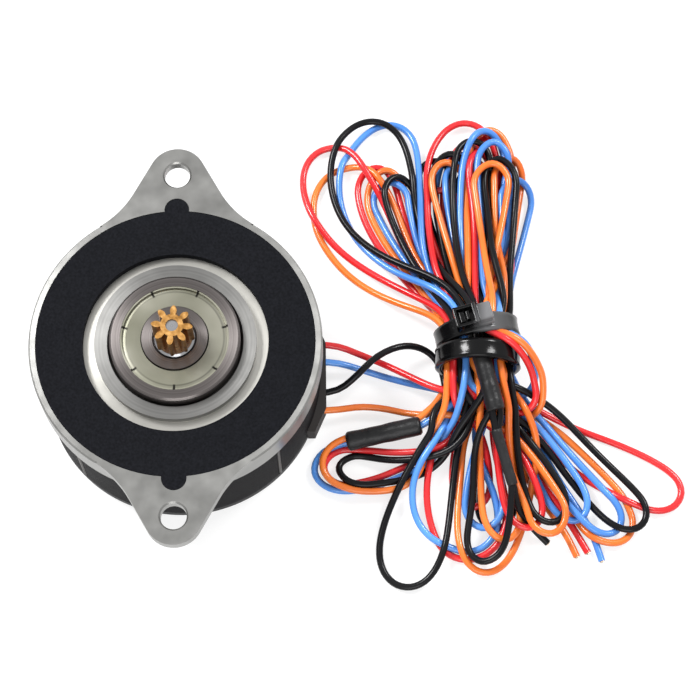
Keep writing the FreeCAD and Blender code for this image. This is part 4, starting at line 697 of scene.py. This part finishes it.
        (32.6, -6.6, 4.2), (30.2, -7, 3.4), (25.5, -7.8, 2.6), (20.8, -8.6, 1.9),
        (18.3, -9.6, 3.3), (17.6, -11.2, 2.8), (18.8, -12.4, 2.6), (21.1, -13, 2.7),
        (24.9, -13.2, 2.7), (27.8, -13, 2.7), (31, -11.6, 2.8), up(34.4, 8.0), (27.8, 10.3, 6.3),
        (22.7, 13.3, 5.5), (18.9, 17.4, 4.6), (16.7, 22.2, 3.7), (16.8, 26.2, 2.8),
        (18.7, 29.1, 2.5), (21.6, 30, 2.8), (24.2, 28.8, 3), (26.6, 26.1, 3.3), (28.6, 21, 3.5),
        (30.8, 15.6, 3.8), down(36.6, 5.0), (42.1, -7.4, 2.2), (44.1, -12.5, 1.5),
        (46.6, -16.9, 0.8), (48.5, -20.1, 0.5), (49.4, -23.5, 0.5),
    ],
}

# Steps on the smooth lines through the points, as a share of a span and in mm.
CURVE_STEP = 0.05
POINT_STEP = 1.9

# How the leads settle. Distances are in mm, and the others are shares of a whole move.
# SINKS and STRAIGHTENS hold a value for most rounds and one for those after CALM_FROM.
# A fold keeps points that many steps apart from coming nearer than a share of their run.
SETTLE_ROUNDS, QUICK_ROUNDS = 240, 40
CALM_FROM = 0.75
SINKS = (0.06, 0.015)
STRAIGHTENS = (0.22, 0.45)
GOES_HOME = 0.008
GAP = LEAD * 1.03
PUSH, MOST_PUSH = 0.35, 0.3
SEARCH_REACH, SEARCH_EVERY, SEARCH_BATCH, NEIGHBOURS = 3.9, 8, 400, 3
FOLDS, UNFOLD = ((2, 0.95), (4, 0.67)), 0.4
KEEP_LENGTH = 0.25
SLEEVE_CATCH, SLEEVE_WALL, SLEEVE_SKIN = 2.2, 0.6, 0.5
SLEEVE_ENDS, MOUTH_ENDS = (-0.05, 1.05), (-0.1, 1.1)
TIE_EDGES, TIE_SPAN, TIE_CATCH = (-3.0, 8.0), (-1.4, 6.6), (33.2, 42.0)
FLOOR_GAP = 0.02


def even_line(points):
    """Points about POINT_STEP apart on a smooth line through those given, and which stay put."""
    places = np.array([point[:3] for point in points], float)
    stays = np.array([len(point) == 4 for point in points])
    padded = np.vstack([2 * places[0] - places[1], places, 2 * places[-1] - places[-2]])
    line, held = [], []
    for i in range(len(places) - 1):
        a, b, c, d = padded[i : i + 4]
        for t in np.arange(0.0, 1.0, CURVE_STEP):
            squared = (2 * a - 5 * b + 4 * c - d) * t**2
            cubed = (3 * b - 3 * c + d - a) * t**3
            line.append(0.5 * (2 * b + (c - a) * t + squared + cubed))
            held.append(stays[i] and stays[i + 1])
    line.append(places[-1])
    held.append(False)
    line = np.array(line)
    run = np.concatenate([[0.0], np.cumsum(np.linalg.norm(np.diff(line, axis=0), axis=1))])
    marks = np.linspace(0.0, run[-1], int(run[-1] / POINT_STEP) + 1)
    even = np.stack([np.interp(marks, run, line[:, k]) for k in range(3)], axis=1)
    return even, np.array(held)[np.searchsorted(run, marks).clip(0, len(held) - 1)]


def nearest_on_runs(p, q, r, s):
    """For pairs of runs p-q and r-s, the shares along each at which they come nearest."""
    u, v, w = q - p, s - r, p - r
    a, b, c = (u * u).sum(1), (u * v).sum(1), (v * v).sum(1)
    d, e = (u * w).sum(1), (v * w).sum(1)
    across = np.maximum(a * c - b * b, 1e-9)
    first = np.clip((b * e - c * d) / across, 0, 1)
    second = np.clip((b * first + e) / np.maximum(c, 1e-9), 0, 1)
    first = np.clip((b * second - d) / np.maximum(a, 1e-9), 0, 1)
    return first[:, None], second[:, None]


def near_runs(points, start, strand):
    """The pairs of runs whose middles lie near, apart from neighbours on one lead."""
    centre = (points[start] + points[start + 1]) / 2
    near = []
    for i in range(0, len(centre), SEARCH_BATCH):
        apart = centre[i : i + SEARCH_BATCH, None] - centre[None]
        one, two = np.nonzero((apart * apart).sum(2) < SEARCH_REACH**2)
        keep = two > one + i
        near.append(np.stack([one[keep] + i, two[keep]], axis=1))
    near = np.vstack(near)
    same = strand[start[near[:, 0]]] == strand[start[near[:, 1]]]
    near = near[~same | (near[:, 1] - near[:, 0] > NEIGHBOURS)]
    return start[near[:, 0]], start[near[:, 1]]


def shift(points, free, most, *moves):
    """Adds up (numbers, moves) pairs and moves the free points by no more than most."""
    total = np.zeros_like(points)
    for numbers, move in moves:
        np.add.at(total, numbers, move)
    size = np.linalg.norm(total, axis=1, keepdims=True)
    total *= np.minimum(1.0, most / np.maximum(size, 1e-6))
    points += total * free[:, None]


def keep_out_of_sleeves(points, free, owned):
    """Holds a sleeve's own leads inside it, and the others outside."""
    for (a, b, radius, _), own in zip(SLEEVES, owned):
        a, b = np.array(a), np.array(b)
        share = ((points - a) @ (b - a)) / ((b - a) @ (b - a))
        axis = a + share[:, None].clip(0, 1) * (b - a)
        out = points - axis
        far = np.maximum(np.linalg.norm(out, axis=1), 1e-4)
        own = own & (share > SLEEVE_ENDS[0]) & (share < SLEEVE_ENDS[1]) & (far < SLEEVE_CATCH)
        inner, outer = radius - SLEEVE_WALL, radius + SLEEVE_SKIN
        wall = np.where(own, np.minimum(far, inner), np.maximum(far, outer))
        edge = (share > MOUTH_ENDS[0]) & (share < MOUTH_ENDS[1]) & free
        points[edge] = (axis + out / far[:, None] * wall[:, None])[edge]


def keep_in_tie(points, free):
    """Draws the leads that pass under the tie into its round inside."""
    tied = (points[:, 1] > TIE_SPAN[0]) & (points[:, 1] < TIE_SPAN[1]) & free
    tied &= (points[:, 0] > TIE_CATCH[0]) & (points[:, 0] < TIE_CATCH[1])
    across = points[tied][:, [0, 2]] - (TIE_X, TIE_Z)
    reach = np.maximum(np.linalg.norm(across, axis=1), 1e-4)
    across *= (np.minimum(reach, TIE_INSIDE) / reach)[:, None]
    held_up = points[tied]
    held_up[:, [0, 2]] = across + (TIE_X, TIE_Z)
    points[tied] = held_up


def settle(lines, held, owned, rounds):
    """Lays the loops down: each sinks and straightens a little, and none enters another."""
    points = np.vstack(lines)
    free = ~np.concatenate(held)
    strand = np.concatenate([np.full(len(line), i) for i, line in enumerate(lines)])
    owned = [np.isin(strand, own) for own in owned]
    start = np.arange(len(points) - 1)
    start = start[strand[:-1] == strand[1:]]
    end = start + 1
    rest = np.linalg.norm(points[end] - points[start], axis=1)
    middle = start[1:][start[1:] == end[:-1]]
    bend = points[middle] - (points[middle - 1] + points[middle + 1]) / 2
    bend[:, 2] = 0.0
    for _ in range(3):
        bend[1:-1] = (bend[:-2] + 2 * bend[1:-1] + bend[2:]) / 4
    folds = []
    for reach, least in FOLDS:
        near_end = np.arange(len(points) - reach)
        near_end = near_end[strand[near_end] == strand[near_end + reach]]
        between_ends = sum(
            np.linalg.norm(points[near_end + k + 1] - points[near_end + k], axis=1)
            for k in range(reach)
        )
        folds.append((near_end, near_end + reach, least * between_ends))
    drawn = points.copy()
    for number in range(rounds):
        calm = int(number > rounds * CALM_FROM)
        sinks = free & ((points[:, 1] < TIE_EDGES[0]) | (points[:, 1] > TIE_EDGES[1]))
        points[sinks, 2] -= SINKS[calm]
        goal = (points[middle - 1] + points[middle + 1]) / 2 + bend
        ease = free[middle][:, None]
        points[middle] += STRAIGHTENS[calm] * (goal - points[middle]) * ease
        points[:, :2] += GOES_HOME * (drawn - points)[:, :2] * free[:, None]
        if number % SEARCH_EVERY == 0:
            one, two = near_runs(points, start, strand)
        for _ in range(2):
            p, q, r, s = points[one], points[one + 1], points[two], points[two + 1]
            t, u = nearest_on_runs(p, q, r, s)
            apart = (p + (q - p) * t) - (r + (s - r) * u)
            far = np.linalg.norm(apart, axis=1)
            close = far < GAP
            away = apart[close] / np.maximum(far[close], 1e-4)[:, None]
            push = PUSH * (GAP - far[close])[:, None] * away
            t, u, first, second = t[close], u[close], one[close], two[close]
            ends = ((first, 1 - t), (first + 1, t), (second, u - 1), (second + 1, -u))
            shift(points, free, MOST_PUSH, *((at, push * share) for at, share in ends))
        for near_end, far_end, least in folds:
            along = points[far_end] - points[near_end]
            far = np.maximum(np.linalg.norm(along, axis=1), 1e-4)
            spread = UNFOLD * np.maximum(least - far, 0.0)[:, None] * along / far[:, None]
            shift(points, free, np.inf, (far_end, spread), (near_end, -spread))
        keep_out_of_sleeves(points, free, owned)
        keep_in_tie(points, free)
        for _ in range(2):
            along = points[end] - points[start]
            far = np.maximum(np.linalg.norm(along, axis=1), 1e-4)
            pull = KEEP_LENGTH * along * (1 - rest / far)[:, None]
            shift(points, free, np.inf, (start, pull), (end, -pull))
        points[free, 2] = np.maximum(points[free, 2], LEAD / 2 + FLOOR_GAP)
    return [points[strand == i] for i in range(len(lines))]


lead_names = list(LEAD_STARTS)
lines, held = [], []
for name in lead_names:
    loops = []
    for item in LEAD_TURNS[name]:
        loops.extend(item if isinstance(item, list) else [item])
    begun = LEAD_STARTS[name]
    line, stays = even_line([begun[-1], *loops])
    lines.append(np.vstack([begun, line[1:]]))
    held.append(np.concatenate([np.full(len(begun), True), stays[1:]]))
owned = [[lead_names.index(name) for name in inside] for _, _, _, inside in SLEEVES]
lines = settle(lines, held, owned, SETTLE_ROUNDS)

lead_gloss, gloss_in, gloss_out = shader_group(
    "lead cover", {"Marks per metre": 700.0, "Patches per metre": 90.0}, ("Marks", "Patches")
)
lead_marks = noise(lead_gloss, gloss_in["Place"], gloss_in["Marks per metre"])
lead_dust = noise(lead_gloss, gloss_in["Place"], gloss_in["Patches per metre"])
feed(lead_gloss, gloss_out["Marks"], lead_marks)
feed(lead_gloss, gloss_out["Patches"], lead_dust)

# Each cover's slot, its shine, and its deep and bright colours.
LEAD_COLOURS = {
    "lead_red": ("insulation_red", 0.5, (0.58, 0.01, 0.014), (0.8, 0.028, 0.032)),
    "lead_blue": ("insulation_blue", 0.5, (0.05, 0.19, 0.58), (0.1, 0.31, 0.8)),
    "lead_black": ("insulation_black", 0.16, (0.004, 0.004, 0.005), (0.009, 0.009, 0.01)),
    "lead_orange": ("insulation_orange", 0.5, (0.68, 0.12, 0.012), (0.88, 0.22, 0.035)),
}
leads = {}
for name, line in zip(lead_names, lines):
    slot_name, shine, deep, bright = LEAD_COLOURS[name]
    cover = Finish(slot_name, lead_gloss, 0.3, shine=shine)
    cover.colours("Patches", (0.32, *deep), (0.68, *bright))
    cover.gloss("Marks", 0.16, 0.27).relief("Marks", 0.00002, 0.3)
    curve = bpy.data.curves.new(name + "_cover", "CURVE")
    curve.dimensions = "3D"
    spline = curve.splines.new("NURBS")
    spline.points.add(len(line) - 1)
    for point, place in zip(spline.points, line):
        point.co = (*(place * MM), 1.0)
    spline.order_u = 3
    spline.use_endpoint_u = True
    spline.resolution_u = 3
    curve.bevel_depth = LEAD / 2 * MM
    curve.bevel_resolution = 3
    curve.use_fill_caps = True
    curve.materials.append(cover.material)
    leads[name] = bpy.data.objects.new(name + "_cover", curve)
    bpy.context.scene.collection.objects.link(leads[name])
    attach(leads[name], "stator")
    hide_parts(name, "lead_hank")

# Splice sleeves
# Black shrink tube over the joints in the leads, wrinkled, with the joint's shape showing through.
# Its radius swells and narrows a little along each sleeve, and draws in at both ends.

SLEEVE_STEPS = 40
SLEEVE_CORNERS = 24
SLEEVE_MOUTH = 0.55
MOUTH_DEPTH = 0.004

sleeve_black = Finish("sleeve black", skin_grain, 0.4, shine=0.3, Grains_per_metre=900.0)
sleeve_black.colours("Patches", (0.3, 0.006, 0.006, 0.0065), (0.7, 0.012, 0.012, 0.013))
sleeve_black.gloss("Patches", 0.3, 0.5).relief("Grain", 0.00016, 0.8)


def skin_between(sides, rings):
    """Smooth quads from each ring of corners to the next."""
    for ring, following in zip(rings, rings[1:]):
        for k in range(len(ring)):
            j = (k + 1) % len(ring)
            sides.faces.new((ring[k], ring[j], following[j], following[k])).smooth = True


def shrunk_tube(sides, centres, radii):
    """A closed tube round a line of centres."""
    rings = []
    for i, (centre, radius) in enumerate(zip(centres, radii)):
        ahead = centres[min(i + 1, len(centres) - 1)] - centres[max(i - 1, 0)]
        side = ahead.cross(Vector((0.0, 0.0, 1.0))).normalized()
        rise = side.cross(ahead).normalized()
        ring = []
        for k in range(SLEEVE_CORNERS):
            angle = 2 * math.pi * k / SLEEVE_CORNERS
            place = centre + radius * (math.cos(angle) * side + math.sin(angle) * rise)
            ring.append(sides.verts.new(place * MM))
        rings.append(ring)
    skin_between(sides, rings)
    sides.faces.new(rings[0])
    sides.faces.new(rings[-1])


sleeve_sides = bmesh.new()
for start, finish, widest, _ in SLEEVES:
    start, finish = Vector(start), Vector(finish)
    centres, radii = [start.lerp(finish, MOUTH_DEPTH)], [widest * SLEEVE_MOUTH]
    for i in range(SLEEVE_STEPS + 1):
        share = i / SLEEVE_STEPS
        wave = 0.5 + 0.3 * math.sin(9.0 * share + widest) + 0.2 * math.sin(23.0 * share)
        ends = min(1.0, 12.0 * min(share, 1.0 - share) + 0.82)
        centres.append(start.lerp(finish, share))
        radii.append(widest * ends * (0.93 + 0.07 * wave))
    centres.append(finish.lerp(start, MOUTH_DEPTH))
    radii.append(widest * SLEEVE_MOUTH)
    shrunk_tube(sleeve_sides, centres, radii)
bmesh.ops.recalc_face_normals(sleeve_sides, faces=sleeve_sides.faces[:])
sleeve_mesh = meshed("shrunk_sleeves", sleeve_sides, sleeve_black.material)
placed("shrunk_sleeves", sleeve_mesh, "stator", "sleeve_black", "splice_sleeves")

# Cable tie
# One black nylon tie wound twice round the folded leads, with its ratchet head on top.
# The back of the head is painted grey, as a painted highlight where light catches it.

TIE_TURNS = ((4.2, 9.0), (0.9, -1.8))
TIE_PARTS = 96
STRAP_OUTLINE = (
    (4.42, -1.1), (4.42, 1.1), (4.6, 1.25), (5.2, 1.25), (5.44, 1.08),
    (5.36, 0.7), (5.36, -0.7), (5.44, -1.08), (5.2, -1.25), (4.6, -1.25),
)
HEAD_BLOCKS = (
    ((-2.5, -1.35, 0.0), (2.3, 1.35, 0.9), 0.2),
    ((-2.5, -1.35, 0.5), (-2.05, 1.35, 2.2), 0.14),
    ((-2.5, -1.35, 0.5), (0.3, -0.95, 2.2), 0.14),
    ((-2.5, 0.95, 0.5), (0.3, 1.35, 2.2), 0.14),
    ((-0.1, -1.35, 0.5), (0.45, 1.35, 2.3), 0.14),
    ((-1.85, -0.72, 0.7), (-1.2, 0.72, 1.75), 0.1),
    ((-1.0, -0.6, 0.7), (-0.55, 0.6, 1.95), 0.1),
    ((0.3, -1.15, 0.5), (2.3, 1.15, 2.0), 0.3),
)
HEAD_PLACE = (0.0370, 0.0047, 0.0107)
HEAD_TURN, HEAD_TILT = 14.0, -5.0
# Where the tie is painted grey as a highlight: spans along X and Y, a height, and the grey.
TIE_HIGHLIGHT_SPANS = (("X", 0.0366, 0.0384), ("Y", 0.0026, 0.003))
TIE_HIGHLIGHT_HEIGHT = (0.0085, 0.0112)
TIE_HIGHLIGHT_GREY = (0.16, 0.16, 0.165, 1.0)

tie_nylon = Finish("tie nylon", skin_grain, 0.2, shine=0.2, Grains_per_metre=2500.0)
tie_nylon.colours("Patches", (0.3, 0.002, 0.002, 0.0022), (0.7, 0.004, 0.004, 0.0044))
tie_nylon.gloss("Patches", 0.1, 0.2).relief("Grain", 0.00002, 0.4)
# Painted highlight: the tie turns grey high up on the back of the head.
tie_axes = axes(tie_nylon.tree, tie_nylon.place)
tie_highlight = between(tie_nylon.tree, tie_axes["Z"], *TIE_HIGHLIGHT_HEIGHT)
for axis, low, high in TIE_HIGHLIGHT_SPANS:
    along = between(tie_nylon.tree, tie_axes[axis], low, high)
    tie_highlight = worked(tie_nylon.tree, "MULTIPLY", tie_highlight, along)
tie_nylon.base(mixed(tie_nylon.tree, tie_highlight, tie_nylon.colour, TIE_HIGHLIGHT_GREY))

tie_sides = bmesh.new()
for y, tilt in TIE_TURNS:
    turn = Matrix.Translation((TIE_X, y, TIE_Z)) @ Matrix.Rotation(math.radians(tilt), 4, "Z")
    rings = []
    for i in range(TIE_PARTS):
        angle = 2 * math.pi * i / TIE_PARTS
        ring = []
        for radius, across in STRAP_OUTLINE:
            place = Vector((radius * math.cos(angle), across, radius * math.sin(angle)))
            ring.append(tie_sides.verts.new((turn @ place) * MM))
        rings.append(ring)
    skin_between(tie_sides, rings + rings[:1])
bmesh.ops.recalc_face_normals(tie_sides, faces=tie_sides.faces[:])

head_sides = bmesh.new()
for low, high, rounding in HEAD_BLOCKS:
    low, high = Vector(low), Vector(high)
    corners = bmesh.ops.create_cube(head_sides, size=1.0)["verts"]
    for corner in corners:
        corner.co = Vector(
            (high[k] + low[k]) / 2 + corner.co[k] * (high[k] - low[k]) for k in range(3)
        )
    edges = {edge for corner in corners for edge in corner.link_edges}
    bmesh.ops.bevel(
        head_sides, geom=list(edges), offset=rounding, segments=3, profile=0.5, affect="EDGES"
    )
head_mesh = meshed("tie_head", head_sides)
head_mesh.transform(Matrix.Scale(MM, 4))
head_mesh.transform(Matrix.Rotation(math.radians(HEAD_TURN), 4, "Z"))
head_mesh.transform(Matrix.Rotation(math.radians(HEAD_TILT), 4, "Y"))
head_mesh.transform(Matrix.Translation(HEAD_PLACE))
tie_sides.from_mesh(head_mesh)
tie_mesh = meshed("cable_tie_moulding", tie_sides, tie_nylon.material)
placed("cable_tie_moulding", tie_mesh, "stator", "tie_nylon", "cable_tie")

# Cut ends
# Each lead ends in a square cut, where seven tinned copper strands just show.

STRAND = 0.19
STRAND_TAPER = 0.005
STRAND_LENGTH = 0.5
STRAND_SUNK = 0.12

strand_tin = Finish("strand tin", skin_grain, 0.35, 1.0)
strand_tin.colours("Patches", (0.3, 0.5, 0.36, 0.24), (0.7, 0.68, 0.55, 0.42))
strand_tin.gloss("Grain", 0.28, 0.4)
for name, line in zip(lead_names, lines):
    tip, before = Vector(line[-1]), Vector(line[-2])
    aim = (tip - before).normalized()
    turn = Matrix.Translation(tip) @ aim.to_track_quat("Z", "Y").to_matrix().to_4x4()
    strands = bmesh.new()
    around = [math.pi * k / 3 for k in range(6)]
    for off in [*((STRAND * math.cos(a), STRAND * math.sin(a)) for a in around), (0.0, 0.0)]:
        bmesh.ops.create_cone(
            strands,
            cap_ends=True,
            segments=10,
            radius1=STRAND / 2,
            radius2=STRAND / 2 - STRAND_TAPER,
            depth=STRAND_LENGTH,
            matrix=turn @ Matrix.Translation((*off, -STRAND_SUNK)),
        )
    strand_mesh = meshed(name + "_strands", strands, strand_tin.material)
    strand_mesh.transform(Matrix.Scale(MM, 4))
    slot_name = LEAD_COLOURS[name][0]
    placed(name + "_strands", strand_mesh, "stator", slot_name)

for name in lead_names:
    start = Vector(LEAD_STARTS[name][0]) * MM

# Floor, light and camera
# A pale table that shows white to the camera, soft lamps, and the photograph's own viewpoint.

FLOOR_WIDTH, FLOOR_CENTRE = 3.0, (0.02, 0.0, -0.0001)
LIT_BY_TABLE, SEEN_TABLE, TABLE_GLOW = 0.8, 0.35, 0.72
LIT_BY_ROOM, SEEN_ROOM = 0.55, 1.0
LAMPS = (
    ("lamp_left", (-0.22, 0.16, 0.34), 0.12, 2.0),
    ("lamp_right", (0.3, 0.22, 0.36), 0.12, 1.4),
    ("lamp_front", (0.02, -0.4, 0.3), 0.3, 1.0),
)
LAMP_AIM = (0.02, 0.0, 0.01)

# The lens and the camera's place are fitted to the flange's edges in the photograph.
CAMERA_LENS, CAMERA_SENSOR = 123.24, 36.0
CAMERA_PLACE = (
    (0.99991, 0.01347, 0.00091, 0.0216),
    (-0.01246, 0.94695, -0.32111, -0.0953),
    (-0.00518, 0.32107, 0.94704, 0.2939),
    (0.0, 0.0, 0.0, 1.0),
)

floor_sides = bmesh.new()
bmesh.ops.create_grid(floor_sides, x_segments=1, y_segments=1, size=FLOOR_WIDTH)
floor_mesh = meshed("table_top", floor_sides)
floor_mesh.transform(Matrix.Translation(FLOOR_CENTRE))
table_top = bpy.data.objects.new("table_top", floor_mesh)
bpy.context.scene.collection.objects.link(table_top)
table_top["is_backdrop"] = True


def lit_and_seen(tree, lit, seen, surface):
    """One shader for the light that a thing gives, and one for how cameras and mirrors see it."""
    rays = tree.nodes.new("ShaderNodeLightPath").outputs
    eye = worked(tree, "MAXIMUM", rays["Is Camera Ray"], rays["Is Glossy Ray"])
    eye = worked(tree, "MAXIMUM", eye, rays["Is Transmission Ray"])
    mix = tree.nodes.new("ShaderNodeMixShader")
    tree.links.new(eye, mix.inputs["Fac"])
    tree.links.new(lit, mix.inputs[1])
    tree.links.new(seen, mix.inputs[2])
    tree.links.new(mix.outputs["Shader"], surface)


def matt(tree, grey):
    """A plain matt shader."""
    node = tree.nodes.new("ShaderNodeBsdfDiffuse")
    node.inputs["Color"].default_value = (grey, grey, grey, 1.0)
    return node.outputs["BSDF"]


table_white = bpy.data.materials.new("table white")
table_white.use_nodes = True
table_tree = table_white.node_tree
table_tree.nodes.clear()
table_surface = table_tree.nodes.new("ShaderNodeOutputMaterial").inputs["Surface"]
table_glow = table_tree.nodes.new("ShaderNodeEmission")
table_glow.inputs["Strength"].default_value = TABLE_GLOW
table_seen = table_tree.nodes.new("ShaderNodeAddShader")
table_tree.links.new(matt(table_tree, SEEN_TABLE), table_seen.inputs[0])
table_tree.links.new(table_glow.outputs["Emission"], table_seen.inputs[1])
table_lit = matt(table_tree, LIT_BY_TABLE)
lit_and_seen(table_tree, table_lit, table_seen.outputs["Shader"], table_surface)
floor_mesh.materials.append(table_white)

room = bpy.data.worlds.new("room")
bpy.context.scene.world = room
room.use_nodes = True
room_tree = room.node_tree
room_lit = room_tree.nodes["Background"]
room_seen = room_tree.nodes.new("ShaderNodeBackground")
room_lit.inputs["Color"].default_value = (1.0, 1.0, 1.0, 1.0)
room_lit.inputs["Strength"].default_value = LIT_BY_ROOM
room_seen.inputs["Strength"].default_value = SEEN_ROOM
room_surface = room_tree.nodes["World Output"].inputs["Surface"]
lit_and_seen(
    room_tree, room_lit.outputs["Background"], room_seen.outputs["Background"], room_surface
)

for name, place, size, power in LAMPS:
    lamp = bpy.data.lights.new(name, "AREA")
    lamp.size = size
    lamp.energy = power
    lamp_object = bpy.data.objects.new(name, lamp)
    lamp_object.location = place
    aim = Vector(LAMP_AIM) - Vector(place)
    lamp_object.rotation_euler = aim.to_track_quat("-Z", "Y").to_euler()
    bpy.context.scene.collection.objects.link(lamp_object)

camera = bpy.data.cameras.new("camera")
camera.sensor_width = CAMERA_SENSOR
camera.lens = CAMERA_LENS
camera.clip_start = 0.01
camera.clip_end = 10.0
camera_object = bpy.data.objects.new("camera", camera)
camera_object.matrix_world = Matrix(CAMERA_PLACE)
bpy.context.scene.collection.objects.link(camera_object)
bpy.context.scene.camera = camera_object
bpy.context.scene.view_settings.view_transform = "Standard"

corners = {"cad": cad_box, "visual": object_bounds()}
{k: [[float(x) for x in c] for c in v] for k, v in corners.items()}
